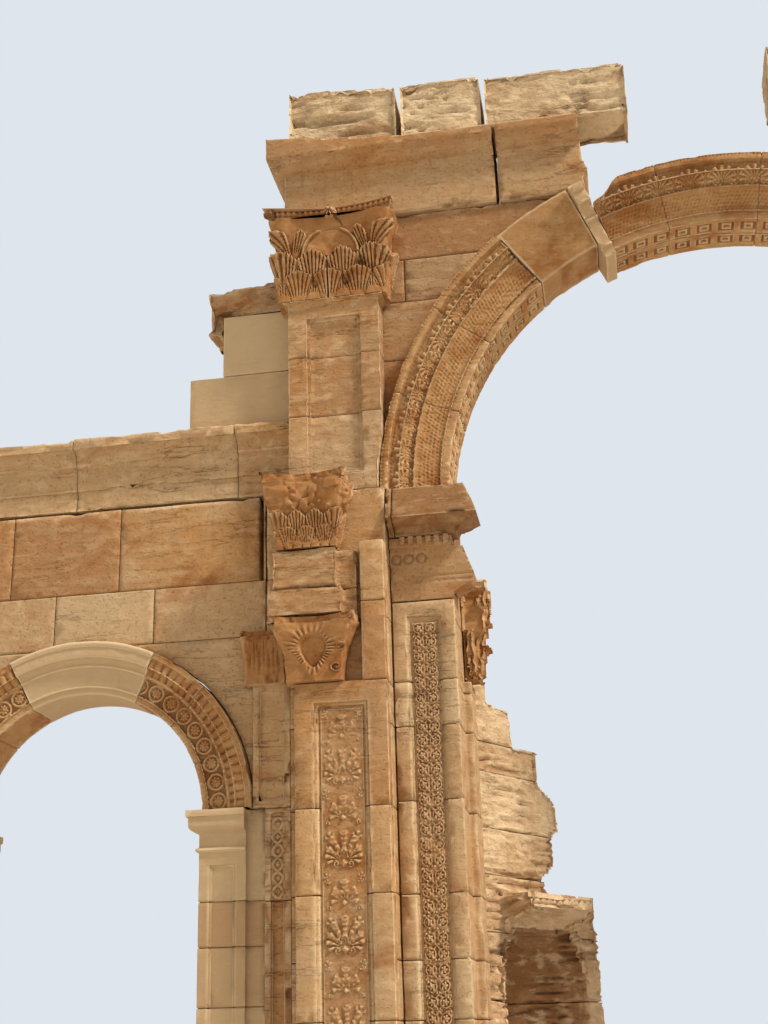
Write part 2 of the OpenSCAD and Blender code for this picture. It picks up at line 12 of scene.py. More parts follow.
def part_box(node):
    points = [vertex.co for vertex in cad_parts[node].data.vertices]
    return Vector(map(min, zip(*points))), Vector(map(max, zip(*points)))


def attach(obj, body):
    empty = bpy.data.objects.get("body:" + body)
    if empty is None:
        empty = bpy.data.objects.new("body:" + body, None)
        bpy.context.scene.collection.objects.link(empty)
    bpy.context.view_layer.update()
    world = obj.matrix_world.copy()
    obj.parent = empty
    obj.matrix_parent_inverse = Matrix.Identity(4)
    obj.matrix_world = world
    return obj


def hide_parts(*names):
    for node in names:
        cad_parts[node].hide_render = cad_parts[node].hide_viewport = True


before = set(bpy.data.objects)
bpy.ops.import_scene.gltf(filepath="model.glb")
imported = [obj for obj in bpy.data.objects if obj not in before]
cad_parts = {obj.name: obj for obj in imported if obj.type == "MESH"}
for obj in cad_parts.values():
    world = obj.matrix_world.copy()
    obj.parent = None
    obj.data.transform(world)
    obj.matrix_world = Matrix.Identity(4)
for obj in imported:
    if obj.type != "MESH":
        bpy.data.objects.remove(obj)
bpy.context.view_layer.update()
WALL_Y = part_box("left_side_wall")[0][1]  # front of the plain wall

bl_info = {
    "name": "Ruined Triumphal Arch",
    "version": (1, 0, 0),
    "blender": (4, 5, 0),
    "location": "3D View > Sidebar > Arch",
    "description": "Builds the stones, carving and setting of a ruined limestone arch",
    "category": "Add Mesh",
}

SIDES = (("left", -1), ("right", 1))
LEAST_COURSE = 0.05   # height of the lowest course of stones
FINE_FACES = 3000     # meshes with more faces than this are thinned
KEPT_SHARE = 0.58     # share of the faces that thinning keeps
ON_PLANE = 1e-5       # a point as near as this to a cutting plane lies on it
MOST_STRAY = 0.004    # how far thinning may move a point off the surface
PLAIN_FROM = 0.6      # depth from which the back of a ring needs no fine mesh
NO_JOINT = 9.0        # distance that stands for no joint nearby
OPEN_JOINT_DEPTH = 0.13

# Material and slot of each finish
WEATHERED = ("Weathered limestone", "old_stone")
TOOLED_FACE = ("Tooled limestone", "old_stone")
CARVED = ("Carved limestone", "carved_stone")
CARVED_CRUST = ("Weathered limestone", "carved_stone")
REPAIR = ("Sawn repair limestone", "new_stone")
ROUGH_TOP = ("Rough limestone", "old_stone")
BLEACHED = ("Sun-bleached limestone", "old_stone")


# Settings that a user would change
def length(name, text, default):
    return bpy.props.FloatProperty(name=name, description=text, default=default, unit="LENGTH")


def angle_of(name, text, degrees):
    return bpy.props.FloatProperty(
        name=name, description=text, default=math.radians(degrees), unit="ROTATION")


def colour(name, text, default):
    return bpy.props.StringProperty(name=name, description=text, default=default)


class StoneSettings(bpy.types.PropertyGroup):
    """Sizes of the masonry's wear"""
    cell: length("Cell", "Spacing of the vertices on plain stone", 0.075)
    groove: length("Joint width", "Half width of a closed joint", 0.008)
    groove_depth: length("Joint depth", "Depth of a closed joint", 0.035)
    arris: length("Worn arris", "Width of the worn margin beside a joint", 0.03)


class LimestoneColours(bpy.types.PropertyGroup):
    """Colours of the limestone, as sRGB hex values"""
    honey: colour("Honey", "Warm weathered face", "b38655")
    buff: colour("Buff", "Greyer weathered face", "b08c64")
    patina: colour("Patina", "Orange-brown patina", "98602f")
    # Umber serves for grime and also for painted shade in recesses; chalk also for painted highlight on
    # up-facing faces
    umber: colour("Umber", "Dirt in hollows", "4a2c12")
    chalk: colour("Chalk", "Fresh chipped edges", "dcc29a")
    sawn: colour("Sawn", "New sawn limestone", "c0a37c")
    sunned: colour("Sunned", "Sun-bleached rubble", "d9bc97")


class StageSettings(bpy.types.PropertyGroup):
    """Camera and surroundings"""
    eye: bpy.props.FloatVectorProperty(
        name="Eye", description="Camera's place", default=(-1.68, WALL_Y - 16.1, 1.6), subtype="XYZ")
    yaw: angle_of("Yaw", "Turn of the view from +Y towards +X", -9.16)
    pitch: angle_of("Pitch", "Rise of the view", 20.77)
    roll: angle_of("Roll", "Roll of the camera", -1.74)
    focal: bpy.props.FloatProperty(
        name="Focal length", description="Focal length for a 36 mm long side", default=50.77, unit="CAMERA")
    backdrop: colour("Backdrop", "Colour behind the arch", "dfe5ec")
    floor: colour("Floor", "Colour of the floor", "d9d6d0")


def settings(name):
    return getattr(bpy.context.scene, name)


def srgb(code):
    """Linear colour of an sRGB hex value."""
    parts = [int(code[i:i + 2], 16) / 255 for i in (0, 2, 4)]
    return [p / 12.92 if p <= 0.04045 else ((p + 0.055) / 1.055) ** 2.4 for p in parts] + [1.0]


# Noise on arrays of points
def lattice(cell, seed):
    """Pseudo-random value from -1 to 1 at whole-numbered points."""
    n = cell[..., 0] * 374761393 + cell[..., 1] * 668265263 + cell[..., 2] * 1103515245 + seed * 974634777
    n = (n ^ (n >> 13)) * 1274126177
    n = n ^ (n >> 16)
    return (n & 0xFFFF) / 32767.5 - 1


def rough(points, size, seed=0):
    """Smooth noise from -1 to 1, whose lumps are size across (one length, or one for each axis)."""
    p = points / np.asarray(size, dtype=float)
    base = np.floor(p).astype(np.int64)
    f = p - base
    f = f * f * (3 - 2 * f)
    total = np.zeros(len(p))
    for corner in range(8):
        step = np.array([corner & 1, corner >> 1 & 1, corner >> 2 & 1])
        weight = np.prod(np.where(step, f, 1 - f), axis=1)
        total += weight * lattice(base + step, seed)
    return total


def layered(points, size, octaves, seed=0):
    """Several octaves of rough, each half as large and half as strong."""
    size = np.asarray(size, dtype=float)
    total = sum(rough(points, size / 2 ** i, seed + i) / 2 ** i for i in range(octaves))
    return total / (2 - 2 ** (1 - octaves))


def ramp(x, low, high):
    """0 below low, 1 above high, smooth between them."""
    t = np.clip((x - low) / (high - low), 0, 1)
    return t * t * (3 - 2 * t)


# Relief patterns: heights from 0 to 1 on arrays of distances in metres
def waver(points, s, across, seed, most=0.007):
    """Moves a pattern's distances a little at each point, as a carver's hand does."""
    return (s + most * layered(points, 0.11, 2, seed + 31),
            across + most * layered(points, 0.09, 2, seed + 37))


def repeat(s, pitch, shift=0.0):
    """Distance from the middle of the nearest of the motifs that repeat along s."""
    return (np.mod(s / pitch + shift, 1) - 0.5) * pitch


def bump(distance, radius):
    """Round swelling."""
    return np.sqrt(np.clip(1 - (distance / radius) ** 2, 0, 1))


def beads(s, across, pitch, width):
    return bump(np.hypot(repeat(s, pitch) / pitch, across / width * 0.9), 0.5)


def beads_and_reels(s, across, pitch, width):
    x = repeat(s, pitch)
    long_bead = bump(np.hypot(x / (pitch * 0.62), across / width * 0.9), 0.5)
    reel = bump(repeat(s, pitch, 0.5) / (pitch * 0.13), 1) * bump(across / width, 0.5)
    return np.maximum(long_bead, reel * 0.85)


def tongues(s, across, pitch, width):
    x = repeat(s, pitch)
    leaf = bump(x / (pitch * 0.46), 1) * ramp(width * 0.5 - across - np.abs(x) * 0.6, 0, width * 0.25)
    return np.maximum(leaf, 0.25)


def volute(x, z, radius, hand=1):
    """Spiral scroll about the origin."""
    away, angle = np.hypot(x, z), np.arctan2(z, x * hand)
    turn = np.cos(angle + away / radius * 9.0)
    return ramp(radius - away, 0, radius * 0.2) * (0.45 + 0.55 * turn)


def rosette(x, z, radius, petals):
    away, angle = np.hypot(x, z), np.arctan2(z, x)
    petal = 0.5 + 0.5 * np.cos(angle * petals)
    flower = ramp(radius * (0.72 + 0.28 * petal) - away, 0, radius * 0.2) * (0.45 + 0.45 * petal)
    return np.maximum(flower, bump(away, radius * 0.3))


def hoop(x, z, radius, thickness):
    return bump(np.hypot(x, z) - radius, thickness)


def palmette_band(s, across, pitch, width):
    """Palmettes whose ribs curl outwards, with small scrolls at their feet and buds between them."""
    foot = across + width * 0.44
    open_fan = palmette(repeat(s, pitch), foot, width * 0.84, 9, 1.5)
    bud = palmette(repeat(s, pitch, 0.5), foot, width * 0.66, 3, 0.5)
    near, up, size = repeat(s, pitch / 2, 0.25), foot - width * 0.06, width * 0.13
    scrolls = np.maximum(volute(near - pitch * 0.07, up, size), volute(near + pitch * 0.07, up, size, -1))
    return np.maximum.reduce([open_fan, bud, scrolls * 0.9, 0.3 * foliage(s, across, 0.05, width)])


def palmette(x, z, radius, ribs, spread):
    """Separate ribs that rise from the origin towards +z, curl outwards and end in round tips."""
    away, angle = np.hypot(x, z), np.arctan2(x, z)
    bent = angle * (1 - 0.22 * (away / radius) ** 2)
    rib = ramp(np.cos(bent / spread * math.pi * ribs / 2) ** 2, 0.15, 0.75)
    reach = radius * (1 - 0.3 * np.clip(np.abs(angle) / spread, 0, 1) ** 1.5)
    inside = ramp(reach - away, 0, radius * 0.07) * (np.abs(bent) < spread)
    return inside * rib * (0.6 + 0.4 * ramp(away / reach, 0.3, 0.9)) * ramp(away, 0.0, radius * 0.2)


def foliage(s, across, pitch, width):
    """Fine running vine: small overlapping leaves with faint loops of the stem among them."""
    row = np.floor(across / pitch)
    x = repeat(s + row * pitch * 0.5, pitch)
    z = across - (row + 0.5) * pitch
    leaf = bump(np.hypot(x * 0.62, z + 0.45 * x), pitch * 0.42)
    loop = hoop(repeat(s, width * 0.95), across, width * 0.34, width * 0.035)
    return np.maximum(leaf * (0.62 + 0.3 * np.sin(s * 9) * np.sin(across * 31 + s * 4)), loop * 0.62)


def vine(x, z, pitch, width):
    """Two columns of small flowers in loops, and between them crossing stems and a dense growth of leaves."""
    across = np.abs(x) - width * 0.24
    up = repeat(z, pitch)
    ring = hoop(across, up, pitch * 0.33, pitch * 0.05)
    flower = rosette(across, up, pitch * 0.27, 5)
    between = repeat(z, pitch, 0.5)
    crossing = bump(np.abs(x) - np.abs(between) * 0.9, width * 0.03) * (np.abs(between) < pitch * 0.3)
    leaves = np.maximum(palmette(across + width * 0.09, between - pitch * 0.02, pitch * 0.34, 3, 1.5),
                        palmette(across - width * 0.11, -between, pitch * 0.3, 3, 1.5))
    sprigs = foliage(z, x, width * 0.15, width * 2) * (np.hypot(across, up) > pitch * 0.3)
    return np.maximum.reduce([ring * 0.62, flower, crossing * 0.7, leaves, sprigs * 0.6])


def leaning_spray(x, z, radius, ribs, lean):
    """Leaf spray whose ribs are notched, turned about its foot."""
    u, v = x * math.cos(lean) - z * math.sin(lean), x * math.sin(lean) + z * math.cos(lean)
    return palmette(u, v, radius, ribs, 1.2) * (0.8 + 0.2 * np.sin(np.hypot(x, z) * 130 - np.abs(u) * 60))


def sprays(x, z, pitch, width):
    """Large and small leaf sprays in turn, each on a knob with a pair of curls, and sprigs at the sides."""
    low, high = np.mod(z, pitch), np.mod(z + pitch * 0.46, pitch)
    side = np.abs(x)
    leaves = [strength * leaning_spray(across - width * out, z - pitch * up, width * radius, ribs, lean)
              for strength, across, out, z, up, radius, ribs, lean in (
                  (1.0, x, 0.0, low, 0.13, 0.68, 5, 0.0), (1.0, side, 0.1, low, 0.12, 0.42, 5, 0.75),
                  (0.8, side, 0.3, low, 0.36, 0.2, 3, 0.3), (0.9, x, 0.0, high, 0.12, 0.46, 3, 0.0),
                  (0.72, side, 0.08, high, 0.1, 0.32, 3, 0.8), (0.6, side, 0.4, low, 0.9, 0.14, 3, 0.3),
                  (0.6, side, 0.42, high, 0.3, 0.12, 3, -0.3))]
    curls = np.maximum(volute(side - width * 0.16, low - pitch * 0.07, width * 0.09),
                       volute(side - width * 0.38, high - pitch * 0.02, width * 0.07, -1))
    knob = np.maximum(bump(side + np.abs(low - pitch * 0.08), width * 0.1),
                      bump(side + np.abs(high - pitch * 0.08), width * 0.075))
    return np.maximum.reduce([*leaves, curls * 0.6, knob])


def acanthus(x, z, w, h, ribs=5):
    """Broad leaf with its root at the origin. Slits fan over it between its ribs, and its scalloped tip
    leans out."""
    q = z / h
    half = w / 2 * (0.5 + 0.5 * np.sin(np.clip(q, 0, 1) * math.pi * 0.6))
    a = np.clip(x / half, -1.5, 1.5)
    top = 1 - 0.24 * a * a + 0.05 * np.abs(np.cos(a * math.pi * ribs / 2))
    edge = np.minimum((1 - np.abs(a)) * half, (top - q) * h)
    fan = x / (w / 2 * (0.4 + 0.6 * np.clip(q, 0, 1.2) ** 1.4))
    slit = ramp(np.abs(np.sin(fan * math.pi * ribs / 2)), 0.62, 0.3)
    shallow = ramp(edge, 0.008, 0.022) * ramp(q, 0.1, 0.25)
    rise = 0.3 + 0.7 * np.clip(q, 0, 1.05) ** 2
    return ramp(edge, 0, 0.014) * np.maximum(rise - 0.27 * slit * shallow, 0)


def interlace(x, z, pitch, width):
    """Two bands that cross and part again."""
    swing = width * 0.3 * np.sin(z / pitch * math.pi)
    bands = bump(x - swing, width * 0.13), bump(x + swing, width * 0.13)
    return np.maximum.reduce([*bands, rosette(x, repeat(z, pitch), width * 0.15, 4)])


# Meshes
def solid_copy(node):
    """A CAD node as one closed bmesh with its flat faces whole."""
    bm = bmesh.new()
    bm.from_mesh(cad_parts[node].data)
    bmesh.ops.remove_doubles(bm, verts=bm.verts, dist=0.0004)
    bmesh.ops.dissolve_limit(bm, angle_limit=math.radians(0.6), verts=bm.verts, edges=bm.edges)
    return bm


def everything(bm):
    return bm.verts[:] + bm.edges[:] + bm.faces[:]


def close_mesh(bm):
    """Fills every opening of the mesh."""
    bmesh.ops.holes_fill(bm, edges=[e for e in bm.edges if e.is_boundary])


def cut(bm, place, normal, faces=None):
    """Scores the mesh along a plane, or only the given faces of it."""
    if faces is None:
        geom = everything(bm)
    else:
        edges = {e for f in faces for e in f.edges}
        geom = list({v for e in edges for v in e.verts}) + list(edges) + list(faces)
    bmesh.ops.bisect_plane(bm, geom=geom, dist=ON_PLANE, plane_co=place, plane_no=normal)


def trim(bm, place, normal):
    """Cuts away what lies on the normal's side of a plane, and closes the mesh."""
    bmesh.ops.bisect_plane(bm, geom=everything(bm), dist=ON_PLANE, plane_co=place, plane_no=normal,
                           clear_outer=True)
    close_mesh(bm)


def extent(bm):
    points = np.array([v.co[:] for v in bm.verts])
    return points.min(0), points.max(0)


def score_grid(bm, cells, keep_off=()):
    """Scores the mesh at even steps along each axis, away from the bed joints."""
    low, high = extent(bm)
    for axis, cell in enumerate(cells):
        if not cell:
            continue
        count = max(1, round((high[axis] - low[axis]) / cell))
        normal = Vector([float(axis == i) for i in range(3)])
        for i in range(1, count):
            at = low[axis] + (high[axis] - low[axis]) * i / count
            if axis == 2 and any(abs(at - h) < cell * 0.4 for h in keep_off):
                continue
            cut(bm, normal * at, normal)


Course = namedtuple("Course", "low high uprights")  # a course of stones between two bed joints


def courses_of(beds, uprights, low, high):
    """Courses between the bed joints. uprights holds one list of places for each course."""
    levels = [low] + [h for h in beds if low + LEAST_COURSE < h < high - LEAST_COURSE] + [high]
    return [Course(*pair, uprights[i % len(uprights)] if uprights else ())
            for i, pair in enumerate(zip(levels, levels[1:]))]


def score_joints(bm, courses, along, wide):
    """Scores every joint with its two lips and its two worn margins."""
    stone = settings("arch_stone")
    up = Vector((0, 0, 1))
    for course in courses[1:]:
        for offset in (-stone.arris, -stone.groove, 0, stone.groove, stone.arris):
            cut(bm, up * (course.low + offset), up)
    for course in courses:
        for place in course.uprights:
            half = wide.get(place, stone.groove)
            for offset in (-half - stone.arris, -half, 0, half, half + stone.arris):
                faces = [f for f in bm.faces if course.low < f.calc_center_median().z < course.high]
                cut(bm, along * (place + offset), along, faces)


def soften_edges(bm, width):
    """Bevels the sharp outward edges."""
    edges = [e for e in bm.edges if len(e.link_faces) == 2 and e.is_convex
             and e.calc_face_angle(0) > math.radians(50) and e.calc_length() > width * 5]
    bmesh.ops.bevel(bm, geom=edges, offset=width, offset_type="OFFSET", segments=1, profile=0.5,
                    affect="EDGES", material=-1, clamp_overlap=True)


def fetch(items, name, width=1, kind=float):
    """One property of all items as an array, with a row for each item where it has several values."""
    values = np.empty(len(items) * width, dtype=kind)
    items.foreach_get(name, values)
    return values.reshape(-1, width) if width > 1 else values


def mesh_arrays(mesh):
    """Points and vertex normals of a mesh."""
    return fetch(mesh.vertices, "co", 3), fetch(mesh.vertex_normals, "vector", 3)


def edge_ends(mesh):
    return fetch(mesh.edges, "vertices", 2, np.int32)


def edge_marks(mesh):
    """For each vertex, 1 on a sharp outward edge, and 1 in a sharp inward corner."""
    edge_of = fetch(mesh.loops, "edge_index", kind=np.int32)
    totals = fetch(mesh.polygons, "loop_total", kind=np.int32)
    face_of = np.repeat(np.arange(len(totals)), totals)
    normals, centres = fetch(mesh.polygons, "normal", 3), fetch(mesh.polygons, "center", 3)
    order = np.argsort(edge_of, kind="stable")
    edges = edge_of[order]
    pair = np.flatnonzero(edges[1:] == edges[:-1])
    a, b = face_of[order[pair]], face_of[order[pair + 1]]
    bend = np.einsum("ij,ij->i", normals[a], normals[b])
    side = np.einsum("ij,ij->i", normals[a], centres[b] - centres[a])
    ends = edge_ends(mesh)[edges[pair]]
    sharp = bend < math.cos(math.radians(35))
    outer, inner = np.zeros(len(mesh.vertices)), np.zeros(len(mesh.vertices))
    for mark, chosen in ((outer, sharp & (side < 0)), (inner, sharp & (side > 0))):
        mark[ends[chosen].ravel()] = 1
    return outer, inner


def relief_marks(mesh, rounds):
    """Wear on what stands out of its surroundings, and painted shade with some grime on what lies behind
    them.
    """
    points, normals = mesh_arrays(mesh)
    ends = edge_ends(mesh)
    count = np.bincount(ends.ravel(), minlength=len(points))[:, None]
    smooth = points
    for _ in range(rounds):
        total = np.zeros_like(points)
        np.add.at(total, ends[:, 0], smooth[ends[:, 1]])
        np.add.at(total, ends[:, 1], smooth[ends[:, 0]])
        smooth = total / np.maximum(count, 1)
    length = np.linalg.norm(points[ends[:, 0]] - points[ends[:, 1]], axis=1).mean()
    depth = np.einsum("ij,ij->i", smooth - points, normals) / length
    return {"wear": np.clip(-depth * 1.6, 0, 1), "hollow": np.clip(depth * 2.2, 0, 1)}


def set_points(mesh, points):
    mesh.vertices.foreach_set("co", np.ascontiguousarray(points, dtype=np.float32).ravel())
    mesh.update()


def as_mesh(bm, name, turned=True):
    """Ends a bmesh as a mesh, with its normals turned outwards or left as they are."""
    if turned:
        bmesh.ops.recalc_face_normals(bm, faces=bm.faces)
    mesh = bpy.data.meshes.new(name)
    bm.to_mesh(mesh)
    bm.free()
    return mesh


def thinned(mesh, share):
    """The mesh with only a share of its faces, taken from where it is flat. A point that strays from the
    surface goes back to it."""
    holder = bpy.data.objects.new("holder", mesh)
    bpy.context.scene.collection.objects.link(holder)
    depsgraph = bpy.context.evaluated_depsgraph_get()
    surface = BVHTree.FromObject(holder, depsgraph)
    holder.modifiers.new("Thin out", "DECIMATE").ratio = share
    depsgraph.update()
    thin = bpy.data.meshes.new_from_object(holder.evaluated_get(depsgraph))
    bpy.data.objects.remove(holder)
    for vertex in thin.vertices:
        nearest, _, _, away = surface.find_nearest(vertex.co)
        if away > MOST_STRAY:
            vertex.co = nearest
        vertex.co.z = max(vertex.co.z, 0.0)
    name = mesh.name
    bpy.data.meshes.remove(mesh)
    thin.name = name
    return thin


def add_piece(mesh, finish, nodes, marks, smooth=40):
    """Makes a piece of a mesh, with its marks for the material, that stands for the nodes."""
    material, slot = finish
    for mark in ("tone", "wear", "hollow"):
        values = np.broadcast_to(marks[mark], len(mesh.vertices))
        layer = mesh.attributes.new(mark, "FLOAT", "POINT")
        layer.data.foreach_set("value", np.ascontiguousarray(values, dtype=np.float32))
    if len(mesh.polygons) > FINE_FACES:
        mesh = thinned(mesh, KEPT_SHARE)
    mesh.materials.append(bpy.data.materials[material])
    mesh.shade_smooth()
    mesh.set_sharp_from_angle(angle=math.radians(smooth))
    piece = bpy.data.objects.new(mesh.name, mesh)
    bpy.context.scene.collection.objects.link(piece)
    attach(piece, "root")
    for node in nodes:
        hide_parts(node)


def worn(points, outer, wear, seed):
    """Depth by which time has worn the stone away at each point."""
    broad = layered(points, 0.55, 3, seed)
    fine = layered(points, 0.12, 2, seed + 20)
    sink = wear["broad"] * (0.5 + 0.5 * broad) + wear["fine"] * (0.5 + 0.5 * fine)
    if wear["ledges"]:
        beds = layered(points + broad[:, None] * 0.05, (0.7, 0.7, wear["bed"]), 2, seed + 40)
        sink += wear["ledges"] * ramp(beds, 0.0, 0.22) * ramp(layered(points, 0.8, 2, seed + 80), -0.35, 0.1)
        crack = ramp(np.abs(layered(points, (0.6, 0.6, wear["bed"] * 1.4), 3, seed + 50)), 0.06, 0.02)
        sink += wear["ledges"] * 0.7 * crack * ramp(layered(points, 0.7, 2, seed + 90), -0.2, 0.2)
    chips = ramp(layered(points, 0.17, 3, seed + 60), 0.1, 0.5)
    return sink + wear["chips"] * outer * (0.12 + chips), fine


def weather(mesh, courses, along, wear, seed, wide, pale, carve, paint):
    """Sinks the joints of a mesh and wears its faces, and returns the marks for the material."""
    stone = settings("arch_stone")
    points, normals = mesh_arrays(mesh)
    outer, inner = edge_marks(mesh)
    place, z = points @ np.array(along), points[:, 2]
    from_joint = np.full(len(points), NO_JOINT)
    tone = np.zeros(len(points))
    shift, opened = np.zeros(len(points)), np.zeros(len(points))

    def nearer(inside, distance):
        from_joint[inside] = np.minimum(from_joint[inside], distance[inside])

    for row, course in enumerate(courses):
        inside = (z > course.low - 1e-4) & (z < course.high + 1e-4)
        if row:
            nearer(inside, np.abs(z - course.low))
        if row < len(courses) - 1:
            nearer(inside, np.abs(z - course.high))
        stone_no = np.zeros(len(points), dtype=np.int64)
        for joint in course.uprights:
            gap = np.maximum(np.abs(place - joint) - wide.get(joint, stone.groove) + stone.groove, 0)
            if joint in wide:
                opened[inside] = np.maximum(opened[inside], (gap < stone.groove * 0.9)[inside])
            nearer(inside, gap)
            stone_no += place > joint
        key = np.stack([stone_no, np.full(len(points), row), np.full(len(points), seed)], axis=1)
        tone[inside] = lattice(key, 3)[inside]
        for pale_row, pale_stone in pale:
            if pale_row == row:
                tone[inside & (stone_no == pale_stone)] = 2
        shift[inside] = lattice(key, 11)[inside] * wear["offset"]
    groove = from_joint < stone.groove * 0.5
    lip = ~groove & (from_joint < stone.groove * 1.5)
    sink, fine = worn(points, np.maximum(outer, lip * 0.08), wear, seed)
    if "tight" in wear:
        sink *= 1 - wear["tight"] * (np.abs(normals[:, 0]) > 0.8)
    if "keep" in wear:
        sink *= normals @ np.array(wear["keep"]) < 0.8
    sink += shift + abs(wear["offset"])
    sink[groove] += stone.groove_depth
    sink += opened * OPEN_JOINT_DEPTH
    cut_in = carve(points) * (normals[:, 1] < -0.5) if carve else 0
    sink += cut_in
    moved = points - normals * sink[:, None]
    moved[:, 2] = np.where(z < 0.002, z, np.maximum(moved[:, 2], 0.003))  # the foot stays on the ground
    set_points(mesh, moved)
    # Pale worn edges, and paler up-facing faces: partly sun bleaching, partly painted highlight
    edge = np.maximum(outer, lip * 0.15) * (0.6 + 0.4 * fine) + 0.35 * ramp(normals[:, 2], 0.6, 0.95)
    # Grime in the joints, and painted shade in inner corners and in carved marks, stronger where they are cut
    # deeper
    hollow = groove * 0.9 + inner * 0.08 + opened + 40 * cut_in
    # Painted shade in the deeper pits of rough stone, and paler worn stone where it stands out
    if wear["ledges"] > 0.02:
        deep = ramp(sink - sink.mean(), sink.std() * 0.6, sink.std() * 2.2)
        hollow, edge = hollow + 0.55 * deep, edge + 0.4 * ramp(sink.mean() - sink, 0, sink.std())
    marks = {"tone": tone, "wear": edge, "hollow": hollow}
    for mark, values in (paint(points, normals) if paint else {}).items():
        marks[mark] = marks[mark] + values
    return {mark: np.clip(values, -2 if mark == "tone" else 0, 2) for mark, values in marks.items()}


def wear_of(*amounts):
    """Kind of wear: depths in metres, and the height of its beds."""
    return dict(zip(("offset", "broad", "fine", "ledges", "bed", "chips"), amounts))


PLAIN = wear_of(0.003, 0.008, 0.004, 0.003, 0.05, 0.03)
TOOLED = wear_of(0.007, 0.018, 0.014, 0.016, 0.05, 0.04)
RUGGED = wear_of(0.01, 0.06, 0.035, 0.07, 0.08, 0.08)
CRACKED = wear_of(0.02, 0.025, 0.02, 0.04, 0.035, 0.08)
SAWN = wear_of(0.002, 0.003, 0.001, 0.0, 0.05, 0.006)
MOULDED = wear_of(0.001, 0.006, 0.005, 0.004, 0.03, 0.016)


def masonry(node, beds=(), uprights=(), wear=PLAIN, finish=WEATHERED, cells=None, seed=1, along=(1, 0, 0),
            top=None, soften=0.0, wide={}, pale=(), carve=None, paint=None):
    """Cuts a CAD node into worn stones and stands for it. Above top, other pieces take its place. wide gives
    the half width of open upright joints, pale the course and stone of repairs, carve a depth at points, and
    paint what points add to the marks."""
    stone = settings("arch_stone")
    bm = solid_copy(node)
    if top:
        trim(bm, (0, 0, top), (0, 0, 1))
    if soften:
        soften_edges(bm, soften)
    low, high = extent(bm)
    courses = courses_of(beds, uprights, low[2], high[2])
    score_joints(bm, courses, Vector(along), wide)
    score_grid(bm, cells or (stone.cell,) * 3, [c.low for c in courses[1:]])
    mesh = as_mesh(bm, node + "_stones", turned=False)
    marks = weather(mesh, courses, along, wear, seed, wide, pale, carve, paint)
    add_piece(mesh, finish, [node], marks)


# Carved work
def relief_panel(name, node, x0, x1, z0, z1, y, pattern, depth, seed, shade, cell=0.012, worn_from=99.0,
                 tone=0.0):
    """Thin closed slab on the floor of a sunk panel, whose front carries a pattern of x and z. Above
    worn_from the carving is nearly lost."""
    nx, nz = round((x1 - x0) / cell), round((z1 - z0) / cell)
    bm = bmesh.new()
    bmesh.ops.create_grid(bm, x_segments=nx, y_segments=nz, size=1)
    middle = Vector(((x0 + x1) / 2, y, (z0 + z1) / 2))
    place = Matrix.Translation(middle) @ Matrix.Rotation(math.radians(90), 4, "X") @ Matrix.Diagonal(
        ((x1 - x0) / 2, (z1 - z0) / 2, 1, 1))
    bmesh.ops.transform(bm, matrix=place, verts=bm.verts)
    border = [e for e in bm.edges if e.is_boundary]
    rim = bmesh.ops.extrude_edge_only(bm, edges=border)["geom"]
    bmesh.ops.translate(bm, vec=(0, 0.02, 0), verts=[g for g in rim if isinstance(g, bmesh.types.BMVert)])
    close_mesh(bm)
    mesh = as_mesh(bm, name)
    points, _ = mesh_arrays(mesh)
    front = points[:, 1] < y + 0.001
    x, z = points[:, 0] - (x0 + x1) / 2, points[:, 2] - z0
    height = pattern(*waver(points, x, z, seed)) * (0.8 + 0.3 * layered(points, 0.07, 2, seed + 3))
    loss = np.maximum(ramp(layered(points, 0.35, 3, seed), 0.15, 0.6),
                      0.7 * ramp(points[:, 2], worn_from, worn_from + 0.5))
    height = height * (1 - 0.6 * loss) + (0.08 + 0.25 * loss) * layered(points, 0.06, 2, seed + 9)
    edge = np.minimum(np.minimum(x - (x0 - x1) / 2, (x1 - x0) / 2 - x), np.minimum(z, z1 - z0 - z))
    points[:, 1] -= np.where(front, depth * np.clip(height, 0, 1.1) * ramp(edge, 0, 0.02), 0)
    set_points(mesh, points)
    marks = relief_marks(mesh, 3)
    # Painted shade on the low ground of the carving and in its recesses, with some grime
    marks["hollow"] = np.clip(marks["hollow"] * 0.3 + ramp(height, 0.3, 0.0) * shade * front, 0, 1)
    marks["tone"] = tone
    marks["wear"] = np.clip(marks["wear"] * 0.75 + loss * 0.15, 0, 1)
    add_piece(mesh, CARVED_CRUST, [node], marks, smooth=70)


def polar(points, centre):
    """Radius and angle, counted from +X towards +Z, of points about a centre."""
    dx, dz = points[:, 0] - centre[0], points[:, 2] - centre[2]
    return np.hypot(dx, dz), np.arctan2(dz, dx)


